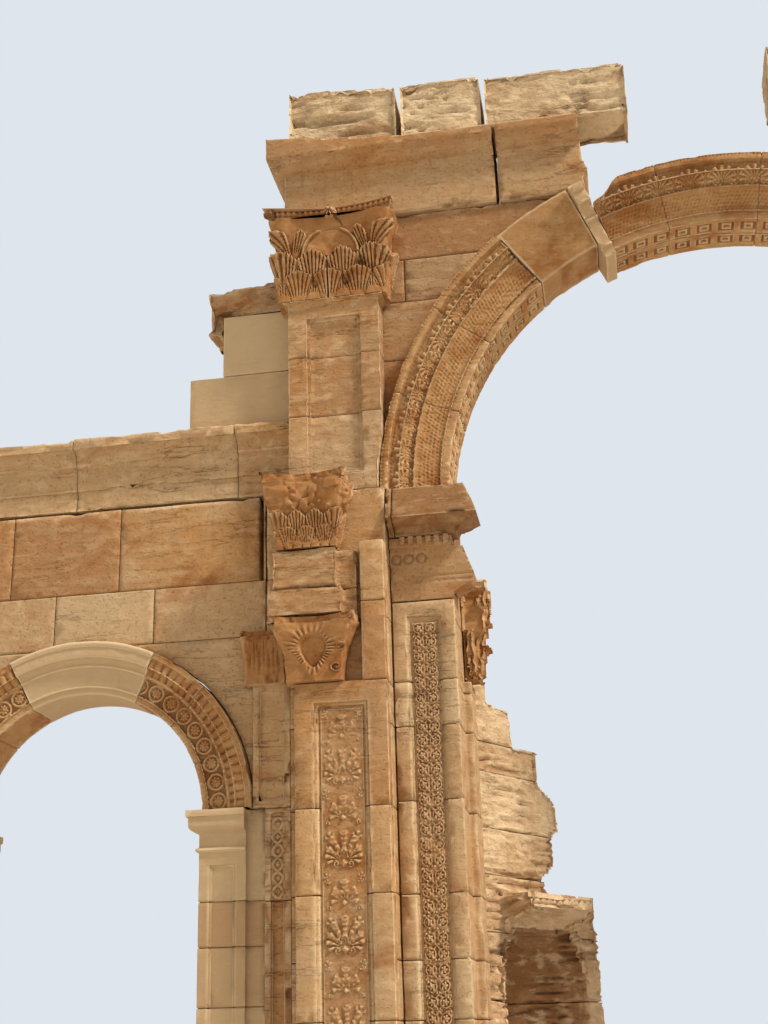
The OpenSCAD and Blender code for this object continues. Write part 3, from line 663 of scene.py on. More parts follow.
def swept_ring(name, node, centre, first, last, r0, w, cells):
    """Cross-section of a CAD ring, swept about the ring's centre from one angle to another, in degrees."""
    start, end, at = math.radians(first), math.radians(last), math.radians((first + last) / 2)
    bm = solid_copy(node)
    tangent = Vector((-math.sin(at), 0, math.cos(at)))
    bmesh.ops.bisect_plane(bm, geom=everything(bm), dist=ON_PLANE, plane_co=centre, plane_no=tangent,
                           clear_inner=True, clear_outer=True)
    away = Vector((math.cos(at), 0, math.sin(at)))
    bmesh.ops.delete(bm, geom=[v for v in bm.verts if (v.co - Vector(centre)).dot(away) < 0], context="VERTS")
    bmesh.ops.remove_doubles(bm, verts=bm.verts, dist=0.0005)
    for edge in bm.edges[:]:
        middle = (edge.verts[0].co + edge.verts[1].co) / 2
        r = (middle - Vector(centre)).dot(away)
        if middle.y > WALL_Y + PLAIN_FROM or r > r0 + w - 0.001:
            cell = cells["plain"]
        elif r < r0 + 0.005:
            cell = cells["soffit"]
        else:
            cell = cells["front"]
        pieces = max(1, round(edge.calc_length() / cell))
        if pieces > 1:
            bmesh.ops.subdivide_edges(bm, edges=[edge], cuts=pieces - 1)
    bmesh.ops.rotate(bm, cent=centre, matrix=Matrix.Rotation(start - at, 3, (0, -1, 0)), verts=bm.verts)
    steps = round((end - start) * (r0 + w) / cells["along"])
    bmesh.ops.spin(bm, geom=bm.verts[:] + bm.edges[:], cent=centre, axis=(0, -1, 0), angle=end - start,
                   steps=steps)
    close_mesh(bm)
    return as_mesh(bm, name)


def carve_ring(mesh, centre, r0, w, bands, soffit, wear, seed, joints=(), groove=0.006, swell=None):
    """Cuts the bands' patterns into a swept ring and wears it, and returns the marks for the material. swell
    is the band that follows the swelling moulding, whose pattern is measured along the moulding."""
    points, normals = mesh_arrays(mesh)
    outer, inner = edge_marks(mesh)
    r, angle = polar(points, centre)
    share = (r - r0) / w
    height = np.ones(len(points))
    cut_depth = np.zeros(len(points))
    front = normals[:, 1] < -0.25
    for low, high, pattern, depth in bands:
        inside = front & (share > low) & (share < high)
        middle = r0 + w * (low + high) / 2
        across = r[inside] - middle
        if (low, high) == swell:
            # The path along the moulding is a quarter circle, 0.785 of the way out and along, then straight
            bend = 0.125
            path = (r[inside] - r0 - w * low) + (WALL_Y - points[inside, 1]) - 0.1
            across = np.where(path < 2 * bend, path * 0.785, path - 0.43 * bend) - 0.165
        height[inside] = pattern(*waver(points[inside], angle[inside] * middle, across, seed, 0.005))
        cut_depth[inside] = depth
    if soffit:
        under = (share < 0.004) & (points[:, 1] < WALL_Y + 0.67)
        height[under] = soffit(angle[under] * r0, points[under, 1] - WALL_Y)
        cut_depth[under] = 0.03
    loss = ramp(layered(points, 0.4, 3, seed), 0.2, 0.62)
    grain = layered(points, 0.05, 2, seed + 7)
    sink = cut_depth * np.clip(1 - height, 0, 1) * (1 - 0.45 * loss) + cut_depth * 0.5 * loss
    sink += np.where(cut_depth > 0, 0.004 * (0.5 + 0.5 * grain), 0)
    decay, fine = worn(points, outer, wear, seed)
    for joint in joints:
        sink = np.where(np.abs(angle - math.radians(joint)) * r < groove, sink + 0.02, sink)
    set_points(mesh, points - normals * (sink + decay)[:, None])
    marks = relief_marks(mesh, 2)
    # Painted shade on the sunk ground of the bands, stronger where they are cut deeper, and in inner corners
    sunk_ground_shade = np.where(cut_depth > 0, ramp(height, 0.4, 0.05) * np.clip(cut_depth / 0.03, 0.2, 1) * 0.62, 0)
    marks["hollow"] = np.clip(np.maximum(marks["hollow"] * 0.35, sunk_ground_shade) + inner * 0.15, 0, 1)
    pale = 0.3 * (share < 0.115) * front if bands else 0
    marks["wear"] = np.clip(marks["wear"] * 0.8 + outer * (0.6 + 0.4 * fine) + pale, 0, 1)
    marks["tone"] = -0.2
    return marks


# Leaf capitals
def path_round(x0, x1, y0, y1, cell, corner):
    """Stations from the wall round the front and back to the wall: distance along them from the middle,
    their place in plan, and the direction outwards."""
    width, depth = x1 - x0, y1 - y0
    s = np.linspace(-1, 1, round((width + 2 * depth) / cell)) * (width / 2 + depth)
    past = np.abs(s) - width / 2
    turn = np.clip(past / corner * 0.5 + 0.5, 0, 1) * math.pi / 2
    foot = np.stack([(x0 + x1) / 2 + np.clip(s, -width / 2, width / 2), y0 + np.maximum(past, 0)], axis=1)
    return s, foot, np.stack([np.sign(s) * np.sin(turn), -np.cos(turn)], axis=1)


def rolled(bm, columns, rows, place):
    """Adds a closed shell: a grid rolled up until its last column meets its first, with both ends filled.
    place gives the points for arrays of column and row numbers."""
    made = bmesh.ops.create_grid(bm, x_segments=columns, y_segments=rows, size=1)["verts"]
    at = np.array([v.co[:2] for v in made])
    column = np.rint((at[:, 0] + 1) / 2 * columns).astype(int) % columns
    row = np.rint((at[:, 1] + 1) / 2 * rows).astype(int)
    for v, point in zip(made, place(column, row)):
        v.co = point
    bmesh.ops.remove_doubles(bm, verts=made, dist=1e-6)
    close_mesh(bm)


def stamp(bm, mesh, place):
    """Adds a copy of a mesh to a bmesh at a place."""
    before = len(bm.verts)
    bm.from_mesh(mesh)
    bm.verts.ensure_lookup_table()
    bmesh.ops.transform(bm, matrix=place, verts=bm.verts[before:])


def scroll_mesh(radius, thickness, petals, wind):
    """Thick disc that faces -Y: a volute whose face winds round to its eye or, with petals, a flower."""
    bm = bmesh.new()
    bmesh.ops.create_uvsphere(bm, u_segments=28, v_segments=16, radius=1)
    bmesh.ops.rotate(bm, matrix=Matrix.Rotation(math.radians(90), 3, "X"), verts=bm.verts)
    for v in bm.verts:
        away, angle = math.hypot(v.co.x, v.co.z), math.atan2(v.co.z, v.co.x)
        ridge = 0.75 + 0.25 * math.cos(petals * angle + away * wind)
        v.co = (v.co.x * radius, v.co.y * thickness * ridge, v.co.z * radius)
    return as_mesh(bm, "scroll", turned=False)


def leaves_on_bell(s, t, width, h, hand):
    """Two tiers of acanthus round a bell, with a smooth vase between them and small leaves at its corners."""
    pitch = width / 3.5
    low = acanthus(repeat(s * hand, pitch, 0.6), t * h, pitch * 0.98, 0.3 * h)
    high = acanthus(repeat(s * hand, pitch, 0.1), t * h, pitch * 1.05, 0.5 * h, 7)
    side, up = np.abs(s), (t - 0.46) * h
    away = np.hypot(side, up * 0.95) - width * 0.27
    vase = ramp(-away, 0, 0.03) * 0.16 + 0.45 * bump(away, 0.02) * ramp(side, width * 0.07, width * 0.12)
    pair = np.maximum(acanthus(side - width * 0.35 + up * 0.3, up, pitch * 0.42, 0.27 * h, 3),
                      acanthus(side - width * 0.4 - up * 0.35, up, pitch * 0.46, 0.3 * h, 3))
    behind = np.maximum.reduce([high * 0.95, pair * 0.75, vase * (up > 0)])
    return np.where(low > 0.05, low * 0.62 + 0.06, behind)


def leaves_worn_low(s, t, width, h, hand):
    """Two tiers of small acanthus under a plain bell whose surface has crumbled."""
    pitch = width / 3.2
    low = acanthus(repeat(s * hand, pitch, 0.45), (t - 0.02) * h, pitch * 0.96, 0.26 * h)
    high = acanthus(repeat(s * hand, pitch, 0.95), (t - 0.02) * h, pitch * 1.05, 0.46 * h)
    lost = 0.3 + 0.35 * ramp(layered(np.column_stack([s, s * 0, t * h]), 0.09, 2, 6), -0.2, 0.3)
    return np.where(low > 0.05, low * 0.55 + 0.05, np.maximum(high * 0.8, lost * ramp(t, 0.4, 0.55)))


def fluted_bell(s, t, width, h, hand):
    """Short flutes that spread round a deep dish like a worn shell, and broken curls at one end."""
    x, z = s, (t - 0.45) * h
    narrow = width * 0.3 * np.interp(t, (0.05, 0.6, 0.9), (0.2, 1.0, 1.3))
    away = np.hypot(x / narrow, z / (h * 0.25))
    loss = ramp(layered(np.column_stack([s, s * 0, t * h]), 0.13, 3, 16), 0.0, 0.4)
    flutes = (0.5 + 0.5 * np.cos(np.arctan2(z, x * 0.8) * 30 + away * 1.2)) * (1 - 0.8 * loss)
    border = ramp(away, 0.85, 1.1) * (0.5 + 0.27 * flutes * ramp(1.8 - away, 0, 0.35))
    curls = np.maximum(volute(s * hand - width * 0.44, (t - 0.5) * h, width * 0.1),
                       volute(s * hand - width * 0.41, (t - 0.2) * h, width * 0.11, -1))
    return np.maximum(border * (1 - 0.4 * ramp(away, 1.7, 2.1)), curls * 0.75)


def palm_bell(s, t, width, h, hand):
    """Tall narrow leaves side by side, which bend outwards under the slab."""
    pitch = width / 4
    return acanthus(repeat(s, pitch, 0.5), t * h, pitch * 1.02, h * 0.95, 3) * 0.8


def leaf_capital(name, node, x0, x1, y0, y1, z0, z1, inset, pattern, seed, lean, scrolls=False,
                 cell=0.016, hand=1):
    """Capital with carved leaves round its bell and a slab over it, which has concave sides and has a bead
    row and a flower where the leaves are fresh. x0, x1 and y0 are the slab's ends and front, and the capital
    stands against y1."""
    h = z1 - z0
    slab_h = h * 0.12
    middle, width = (x0 + x1) / 2, x1 - x0 - 2 * inset
    bm = bmesh.new()
    s, foot, out = path_round(x0 + inset, x1 - inset, y0 + inset, y1, cell, inset * 0.5)
    rows = round((h - slab_h) / cell)
    crack = -0.03 * width * hand
    fresh = pattern is leaves_on_bell

    def bell(column, row):
        t = row / rows * (1 - slab_h / h)
        edge = np.clip(np.abs(s[column]) / (width / 2), 0, 1)
        flare = inset * (0.3 + 0.68 * edge ** 2) * (t / 0.88) ** 2.5
        reach = flare + lean * inset * pattern(s[column], t, width, h, hand) * (1 - 0.6 * ramp(t, 0.7, 0.88))
        reach = reach - 0.04 * (np.abs(s[column] - crack) < cell * 0.6) * (t < 0.42) * fresh
        plan = foot[column] + out[column] * reach[:, None]
        return np.column_stack([plan[:, 0], np.minimum(plan[:, 1], y1), z0 + t * h])

    rolled(bm, len(s), rows, bell)
    slab_s, slab_foot, slab_out = path_round(x0 + 0.02, x1 - 0.02, y0 + 0.02, y1, 0.018, 0.03)

    def slab(column, row):
        t = row / 10
        across = np.clip(slab_s[column] / ((x1 - x0) / 2), -1, 1)
        reach = -fresh * (slab_h * 0.3 * (1 - t) + 0.045 * ((t > 0.45) & (t < 0.95)))
        reach = reach + 0.05 * fresh * beads(slab_s[column], (t - 0.7) * slab_h, 0.072, slab_h * 0.5)
        plan = slab_foot[column] + slab_out[column] * reach[:, None]
        depth = np.clip((y1 - plan[:, 1]) / (y1 - y0), 0, 1)
        plan[:, 1] += depth * inset * 0.85 * (1 - across ** 2)
        return np.column_stack([plan[:, 0], np.minimum(plan[:, 1], y1), z1 - slab_h + t * slab_h])

    rolled(bm, len(slab_s), 10, slab)
    if fresh:
        scroll = scroll_mesh(h * 0.095, inset * 0.32, 1, 10)
        for end in (-1, 1) if scrolls else ():
            x = middle + end * ((x1 - x0) / 2 - inset * 0.42)
            stamp(bm, scroll, Matrix.Translation((x, y0 + inset * 0.42, z1 - slab_h - h * 0.09))
                  @ Matrix.Rotation(end * math.radians(45), 4, "Z"))
        flower = scroll_mesh(slab_h * 0.6, inset * 0.62, 6, 0)
        stamp(bm, flower, Matrix.Translation((middle, y0 + inset * 0.8, z1 - slab_h * 0.62)))
    mesh = as_mesh(bm, name)
    points, normals = mesh_arrays(mesh)
    low, high = (np.array(corner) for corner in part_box(node))
    broken = ramp(np.abs(points[:, 0] - middle) / (x1 - x0) * 2, 0.75, 1.0)
    broken = broken * ramp(points[:, 2], z0 + h * 0.4, z1)
    decay = 0.008 * layered(points, 0.1, 3, seed) + 0.02 * ramp(layered(points, 0.2, 2, seed + 5), 0.2, 0.6)
    patches = layered(points, 0.16, 2, seed + 9)
    decay += 0.07 * broken * ramp(patches, -0.2, 0.3)
    if not fresh:
        crumbled = ramp(layered(points, 0.09, 2, seed + 12), -0.2, 0.3)
        decay += 0.02 * crumbled * ramp(points[:, 2], z1 - slab_h * 1.3, z1 - slab_h)
    points[:, :2] -= (normals * decay[:, None])[:, :2]
    set_points(mesh, np.clip(points, low + 0.002, high - 0.002))
    marks = relief_marks(mesh, 3)
    # Painted shade between and under the leaves, and a browner tone that is partly patina and partly painted
    # shade
    marks["hollow"] = marks["hollow"] * 0.85
    marks["tone"] = -1.1
    patches = layered(points, 0.16, 2, seed + 9)
    marks["wear"] = np.clip(marks["wear"] * 0.55 + 0.5 * broken * ramp(patches, 0.0, 0.4), 0, 1)
    add_piece(mesh, CARVED, [node], marks, smooth=60)


# Materials
def add(tree, kind, settings=None, **links):
    """Adds a node, sets its properties or sockets, and links its inputs to the given outputs."""
    node = tree.nodes.new(kind)
    for key, value in (settings or {}).items():
        if key in node.inputs:
            node.inputs[key].default_value = value
        else:
            setattr(node, key, value)
    for key, output in links.items():
        tree.links.new(output, node.inputs[key.replace("_", " ")])
    return node


def feed(tree, node, values):
    """Links or sets a node's sockets by number, and returns its outputs."""
    for socket, value in values.items():
        if hasattr(value, "links"):
            tree.links.new(value, node.inputs[socket])
        else:
            node.inputs[socket].default_value = value
    return node.outputs


def mix_colour(tree, factor, a, b):
    """Colour between a and b, each an output or a linear colour."""
    return feed(tree, add(tree, "ShaderNodeMix", {"data_type": "RGBA"}), {0: factor, 6: a, 7: b})[2]


def span(tree, output, low, high, to_low=0.0, to_high=1.0):
    """Maps an output from one range to another, clamped."""
    node = add(tree, "ShaderNodeMapRange", {"interpolation_type": "SMOOTHSTEP"})
    return feed(tree, node, {0: output, 1: low, 2: high, 3: to_low, 4: to_high})[0]


def calculate(tree, operation, a, b):
    return feed(tree, add(tree, "ShaderNodeMath", {"operation": operation}), {0: a, 1: b})[0]


def limestone(name, main, second, patina, patina_share, bedding, pits, dirt_and_shade=1.0, broken=0.0):
    """Limestone dug in beds: two ground colours in clouds, patina in patches, mottling, hairline cracks along
    the beds, small pits, pale worn edges with painted highlight on up-facing faces, grime and painted shade
    in the recesses and, where it is broken, a ledgy face."""
    colours = settings("arch_colours")
    material = bpy.data.materials.new(name)
    material.use_nodes = True
    tree = material.node_tree
    tree.nodes.clear()
    place = add(tree, "ShaderNodeTexCoord").outputs["Object"]

    def noise(scale, detail, roughness, stretch=(1, 1, 1), distortion=0.0):
        mapped = add(tree, "ShaderNodeMapping", {"Scale": stretch}, Vector=place).outputs[0]
        settings_of = {"Scale": scale, "Detail": detail, "Roughness": roughness, "Distortion": distortion}
        return add(tree, "ShaderNodeTexNoise", settings_of, Vector=mapped).outputs["Fac"]

    clouds = noise(0.5, 4, 0.6)                          # 2 m clouds of tone
    patches = noise(1.2, 7, 0.62, (1, 1, 1.5), 0.7)      # 0.8 m patches of patina
    mottle = noise(6, 6, 0.66, (1, 1, 1.6))              # 150 mm mottling
    beds = noise(1.5, 8, 0.6, (0.35, 0.35, 3.2))         # bedding 200 mm apart
    where = noise(0.8, 3, 0.5)                           # 1.2 m areas that the cracks keep to
    streaks = noise(2.4, 4, 0.6, (4, 4, 0.5))            # rain streaks 100 mm wide
    grain = noise(110, 3, 0.7)                           # 9 mm grain
    pitting = noise(34, 4, 0.6)                          # 30 mm pits
    ledges = noise(4.5, 6, 0.56, (1, 1, 2.1), 0.3)       # ledges 100 mm high
    off_bed = calculate(tree, "ABSOLUTE", calculate(tree, "SUBTRACT", beds, 0.5), 0.0)
    crack = span(tree, off_bed, 0.0, 0.008, 1.0, 0.0)
    crack = calculate(tree, "MULTIPLY", crack, span(tree, where, 0.45, 0.6))
    tone, wear, hollow = (add(tree, "ShaderNodeAttribute", {"attribute_name": mark}).outputs["Fac"]
                          for mark in ("tone", "wear", "hollow"))
    ground = mix_colour(tree, span(tree, clouds, 0.38, 0.62), srgb(main), srgb(second))
    for output, low, high, share, colour in (
            (patches, 0.66 - patina_share, 0.86 - patina_share, 0.85, patina),
            (mottle, 0.5, 0.78, 0.26, colours.chalk),
            (mottle, 0.46, 0.2, 0.3 * dirt_and_shade, colours.umber),
            (beds, 0.52, 0.7, 0.22 * bedding, colours.chalk),
            (tone, -0.2, 1, 0.2, colours.chalk),
            # Below zero, patina: a random stone tone, and also painted shade where a piece is made darker all
            # over
            (tone, 0, -1.6, 0.6, colours.patina),
            (tone, 1.2, 2.0, 0.8, colours.sawn),
            (streaks, 0.55, 0.78, 0.22 * dirt_and_shade, colours.umber),
            (crack, 0.0, 1.0, 0.28 * bedding, colours.umber),
            (pitting, 0.6, 0.72, 0.4 * pits, colours.umber),
            # Pale worn edges, and painted highlight on up-facing faces
            (wear, 0.1, 0.9, 0.7, colours.chalk),
            # Painted shade in recesses and inner corners, and grime in the joints
            (hollow, 0.05, 1.0, 0.7 * dirt_and_shade, colours.umber),
            (ledges, 0.44, 0.3, 0.24 * broken, colours.umber),
            (ledges, 0.5, 0.66, 0.8 * broken, colours.chalk)):
        ground = mix_colour(tree, span(tree, output, low, high, 0, share), ground, srgb(colour))
    height = calculate(tree, "MULTIPLY", crack, -0.7 * bedding)
    for output, rise in ((mottle, 1.1), (span(tree, pitting, 0.56, 0.72), -0.7 * pits), (grain, 0.16),
                         (ledges, 7 * broken)):
        height = calculate(tree, "ADD", height, calculate(tree, "MULTIPLY", output, rise))
    bump = add(tree, "ShaderNodeBump", {"Strength": 0.8, "Distance": 0.014}, Height=height).outputs[0]
    shader = add(tree, "ShaderNodeBsdfPrincipled",
                 {"Roughness": 0.93, "IOR": 1.5, "Specular IOR Level": 0.25}, Base_Color=ground, Normal=bump)
    add(tree, "ShaderNodeOutputMaterial", Surface=shader.outputs[0])


# The pieces. Heights are above the ground and distances u from the middle of the central arch, in metres.
PIER_BEDS = (0.95, 1.98, 2.59, 3.28, 4.2, 5.13, 5.6, 6.37, 7.05)
SMALL_CAPITAL_FOOT, SMALL_CAPITAL_TOP = 5.73, 6.37
OUTER_CAPITAL_FOOT, OUTER_CAPITAL_TOP = 7.23, 8.13

# Relief panels: pilaster, name, ends in u, ends in height, distance before the wall, pattern, depth, seed
INTERLACE = (3.3, 4.2, 0.052, lambda x, z: interlace(x, z, 0.15, 0.2), 0.024, 28, {"shade": 0.4})
RELIEFS = (
    ("main_pilaster", "main_relief", (4.515, 4.995), 0.83, 5.3, 0.462, lambda x, z: sprays(x, z, 0.9, 0.46),
     0.036, 21, {"cell": 0.0105, "shade": 0.26, "worn_from": 4.1, "tone": -0.9}),
    ("jamb_pilaster", "jamb_relief", (3.685, 3.985), 0.75, 6.35, 0.054, lambda x, z: vine(x, z, 0.165, 0.3),
     0.034, 24, {"cell": 0.0095, "shade": 0.7, "tone": -0.8}),
    ("jamb_pilaster", "jamb_edge_beads", (3.475, 3.515), 0.75, 6.3, 0.085,
     lambda x, z: beads(z, x, 0.075, 0.03), 0.012, 25, {"cell": 0.0125, "shade": 0.3}),
    ("small_pilaster", "interlace_5", (5.47, 5.7), *INTERLACE),
    ("small_pilaster", "interlace_10", (10.26, 10.49), *INTERLACE),
)


def mirrored(sign, places):
    """Places measured outwards from the middle of the arch, as X on one side of it, in rising order."""
    return sorted(sign * u for u in places)


def evenly(**marks):
    """Paint that adds the same values to the marks everywhere."""
    return lambda points, normals: marks


class ARCH_OT_materials(bpy.types.Operator):
    """Makes the six finishes of the limestone"""
    bl_idname = "arch.materials"
    bl_label = "Finishes"

    def execute(self, context):
        c = settings("arch_colours")
        limestone("Weathered limestone", c.honey, c.buff, c.patina, 0.14, 0.8, 0.9, broken=0.2)
        limestone("Tooled limestone", c.buff, c.honey, c.patina, 0.14, 0.9, 0.9, broken=0.36)
        limestone("Carved limestone", c.honey, c.honey, c.patina, 0.22, 0.3, 0.6, broken=0.12)
        limestone("Sawn repair limestone", c.sawn, c.sawn, c.honey, 0.02, 0.15, 0.12, dirt_and_shade=0.35)
        limestone("Rough limestone", c.buff, c.chalk, c.patina, 0.14, 1.0, 1.0, broken=1.1)
        limestone("Sun-bleached limestone", c.sunned, c.buff, c.honey, 0.05, 1.0, 0.9, broken=0.8)
        return {"FINISHED"}


class ARCH_OT_walls(bpy.types.Operator):
    """Builds the piers, side walls and upper walls of coursed ashlar"""
    bl_idname = "arch.walls"
    bl_label = "Walls and piers"

    def execute(self, context):
        for side, sign in SIDES:
            for part, beds, rows, seed, more in (
                    ("pier", PIER_BEDS, ((), (4.9,), (), (5.5,)), 2, {}),
                    ("outer_pier", PIER_BEDS, ((10.9,), (11.2,)), 5, {}),
                    ("side_wall", (6.36, 7.05), ((), (7.14, 8.4, 9.6), (5.8, 7.6, 9.0)), 8,
                     {"wide": {sign * 5.8: 0.03}, "pale": ((1, 2 if sign < 0 else 1),),
                      "paint": evenly(tone=-0.2, hollow=0.11)}),
                    ("upper_wall", (9.11, 9.8, 10.62, 11.23), ((), (), (4.62,), (3.92,), ()), 11,
                     {"paint": evenly(tone=-0.4, hollow=0.27)})):
                masonry(f"{side}_{part}", beds, [[sign * u for u in row] for row in rows], seed=seed + sign,
                        **more)
        return {"FINISHED"}


class ARCH_OT_pilasters(bpy.types.Operator):
    """Builds the main, jamb, small, outer and upper pilasters with their relief panels"""
    bl_idname = "arch.pilasters"
    bl_label = "Pilasters"

    def execute(self, context):
        for side, sign in SIDES:
            for part, beds, seed, more in (
                    ("main_pilaster", (1.98, 3.27, 4.2, 5.6, 6.53), 20, {"soften": 0.015}),
                    ("jamb_pilaster", (1.98, 2.59, 3.28, 4.29, 5.13, 5.65), 23,
                     {"soften": 0.015, "paint": evenly(tone=1.1)}),
                    ("small_pilaster", (3.28, 4.3), 26,
                     {"finish": CARVED_CRUST, "wear": MOULDED, "top": SMALL_CAPITAL_FOOT}),
                    ("outer_pilaster", (1.98, 3.28, 4.2, 5.6), 29,
                     {"top": OUTER_CAPITAL_FOOT, "soften": 0.015}),
                    ("upper_pilaster", (9.0, 9.8), 32,
                     {"wear": PLAIN | {"ledges": 0.008}, "finish": TOOLED_FACE, "soften": 0.015,
                      "cells": (0.05, 0.06, 0.05)}),
                    ("side_jambs", (0.95, 2.18, 2.81, 3.3), 35, {"wear": SAWN, "finish": REPAIR})):
                masonry(f"{side}_{part}", beds, seed=seed + sign, **more)
                for pilaster, name, ends, z0, z1, out, pattern, depth, first, looks in RELIEFS:
                    if pilaster == part:
                        relief_panel(f"{side}_{name}", f"{side}_{part}", *mirrored(sign, ends), z0, z1,
                                     WALL_Y - out, pattern, depth, seed=first + sign, **looks)
        return {"FINISHED"}


# Rings: springing height, inner radius and width, and spacing of the vertices
SPRINGING, RING_R, RING_W = 7.98, 3.46, 0.818
SIDE_AXIS, SIDE_SPRINGING, SIDE_RING_R, SIDE_RING_W = 7.98, 4.31, 1.48, 0.62
RING_CELLS = {"front": 0.0115, "soffit": 0.018, "plain": 0.09, "along": 0.0125}
PLAIN_RING_CELLS = {"front": 0.04, "soffit": 0.05, "plain": 0.09, "along": 0.05}
SIDE_RING_CELLS = {"front": 0.014, "soffit": 0.05, "plain": 0.08, "along": 0.015}
SIDE_REPAIR_CELLS = {"front": 0.03, "soffit": 0.05, "plain": 0.08, "along": 0.04}
CROWN_DROP = 0.16  # how far the crown has slipped
CROWN_BREAK = (103.5, 104.2, 107.7, 110, 113), (4.6, 4.198, 4.028, 3.928, 3.878)  # degrees and radii left
WING_AXIS = (0.5, 0.866, 0)  # the rear wings are turned by 30 degrees

# Bands of a ring: shares of its width, pattern and depth
SWELL = (0.565, 0.875)
CENTRAL_BANDS = (
    (0.955, 0.998, lambda s, b: tongues(s, b, 0.045, 0.035), 0.016),
    (*SWELL, lambda s, b: palmette_band(s, b, 0.4, 0.32), 0.034),
    (0.505, 0.56, lambda s, b: beads_and_reels(s, b, 0.14, 0.05), 0.035),
    (0.17, 0.495, lambda s, b: foliage(s, b, 0.048, 0.26), 0.02),
    (0.115, 0.16, lambda s, b: beads(s, b, 0.06, 0.038), 0.03),
)
SIDE_BANDS = (
    (0.9, 0.995, lambda s, b: tongues(s, b, 0.07, 0.06), 0.01),
    (0.57, 0.88, lambda s, b: bump(repeat(s, 0.1), 0.04), 0.03),
    (0.505, 0.55, lambda s, b: beads_and_reels(s, b, 0.1, 0.035), 0.015),
    (0.16, 0.495, lambda s, b: np.maximum(rosette(repeat(s, 0.225), b, 0.07, 8),
                                          hoop(repeat(s, 0.225), b, 0.09, 0.014)), 0.03),
    (0.118, 0.155, lambda s, b: beads(s, b, 0.055, 0.03), 0.015),
)


def coffers(s, y):
    """Two rows of square sunk fields with a knob in each, and a groove between the rows."""
    row = np.where(y < 0.33, y - 0.18, y - 0.49)
    x = repeat(s, 0.27)
    away = np.maximum(np.abs(x), np.abs(row))
    field, knob = away < 0.095, (away < 0.06) & (away > 0.028)
    groove = np.abs(y - 0.335 + 0.03 * np.sin(s * 2.3)) < 0.012
    return 1.0 - np.where((field & ~knob) | groove, 1.0, 0.0)


class ARCH_OT_rings(bpy.types.Operator):
    """Builds the carved central ring, its slipped crown and repair wedges, and the side rings"""
    bl_idname = "arch.rings"
    bl_label = "Rings"

    def execute(self, context):
        centre = np.array((0.0, WALL_Y, SPRINGING))
        for side, sign in SIDES:
            node = "arch_ring_" + side
            spans = (("carved", 129.06, 180.0, CENTRAL_BANDS, coffers, RING_CELLS, (162.5, 146)),
                     ("plain", 114.66, 129.0, (), None, PLAIN_RING_CELLS, ()))
            for i, (kind, low, high, bands, soffit, cells, joints) in enumerate(spans):
                if sign > 0:
                    low, high = 180 - high, 180 - low
                    joints = [180 - joint for joint in joints]
                mesh = swept_ring(f"{node}_{kind}", node, centre, low, high, RING_R, RING_W, cells)
                marks = carve_ring(mesh, centre, RING_R, RING_W, bands, soffit, MOULDED, 41 + i + sign,
                                   joints, swell=SWELL)
                if not bands:
                    marks["hollow"] = marks["hollow"] + 0.34
                add_piece(mesh, CARVED, [node], marks, smooth=50)
            masonry(side + "_wedge", wear=SAWN, finish=REPAIR, seed=47)

        low_centre = centre - np.array((0, 0, CROWN_DROP))
        mesh = swept_ring("arch_crown_carved", "arch_crown", low_centre, 66.5, 113.5, RING_R, RING_W,
                          RING_CELLS)
        bm = bmesh.new()
        bm.from_mesh(mesh)
        for angle, hand in ((math.radians(112), 1), (math.radians(68), -1)):
            trim(bm, centre, Vector((-math.sin(angle), 0, math.cos(angle))) * hand)
        bm.to_mesh(mesh)
        bm.free()
        marks = carve_ring(mesh, low_centre, RING_R, RING_W, CENTRAL_BANDS, coffers, MOULDED, 52, (81, 99),
                           swell=SWELL)
        points, _ = mesh_arrays(mesh)
        r, angle = polar(points, centre)
        broken = np.interp(np.degrees(angle), *CROWN_BREAK) + 0.02 * layered(points, 0.12, 2, 5)
        kept = np.minimum(1, broken / r)
        for axis in (0, 2):
            points[:, axis] = centre[axis] + (points[:, axis] - centre[axis]) * kept
        set_points(mesh, points)
        add_piece(mesh, CARVED, ["arch_crown"], marks, smooth=50)

        for side, sign in SIDES:
            node = side + "_side_arch"
            hub = np.array((sign * SIDE_AXIS, WALL_Y, SIDE_SPRINGING))
            carved = (SIDE_BANDS, SIDE_RING_CELLS, MOULDED, CARVED)
            repair = ((), SIDE_REPAIR_CELLS, SAWN, REPAIR)
            spans = ((0, 64.44, carved), (64.5, 115.5, repair), (115.56, 180, carved))
            for i, (low, high, (bands, cells, wear, finish)) in enumerate(spans):
                mesh = swept_ring(f"{node}_{i + 1}", node, hub, low, high, SIDE_RING_R, SIDE_RING_W, cells)
                marks = carve_ring(mesh, hub, SIDE_RING_R, SIDE_RING_W, bands, None, wear, 44 + i,
                                   (22, 43, 137, 158), groove=0.005)
                add_piece(mesh, finish, [node], marks, smooth=50)
        return {"FINISHED"}


def ring_marks(u, z):
    """Depth of three shallow rings and of two lines under them, on the block over the jamb pilaster."""
    rings = hoop(repeat(u - 3.76, 0.15), z - 7.13, 0.056, 0.016) * (u > 3.77) * (u < 4.2)
    lines = np.maximum(bump(z - 6.9, 0.012), bump(z - 6.84, 0.012)) * (u < 3.95)
    return 0.014 * np.maximum(rings, lines * 0.7)


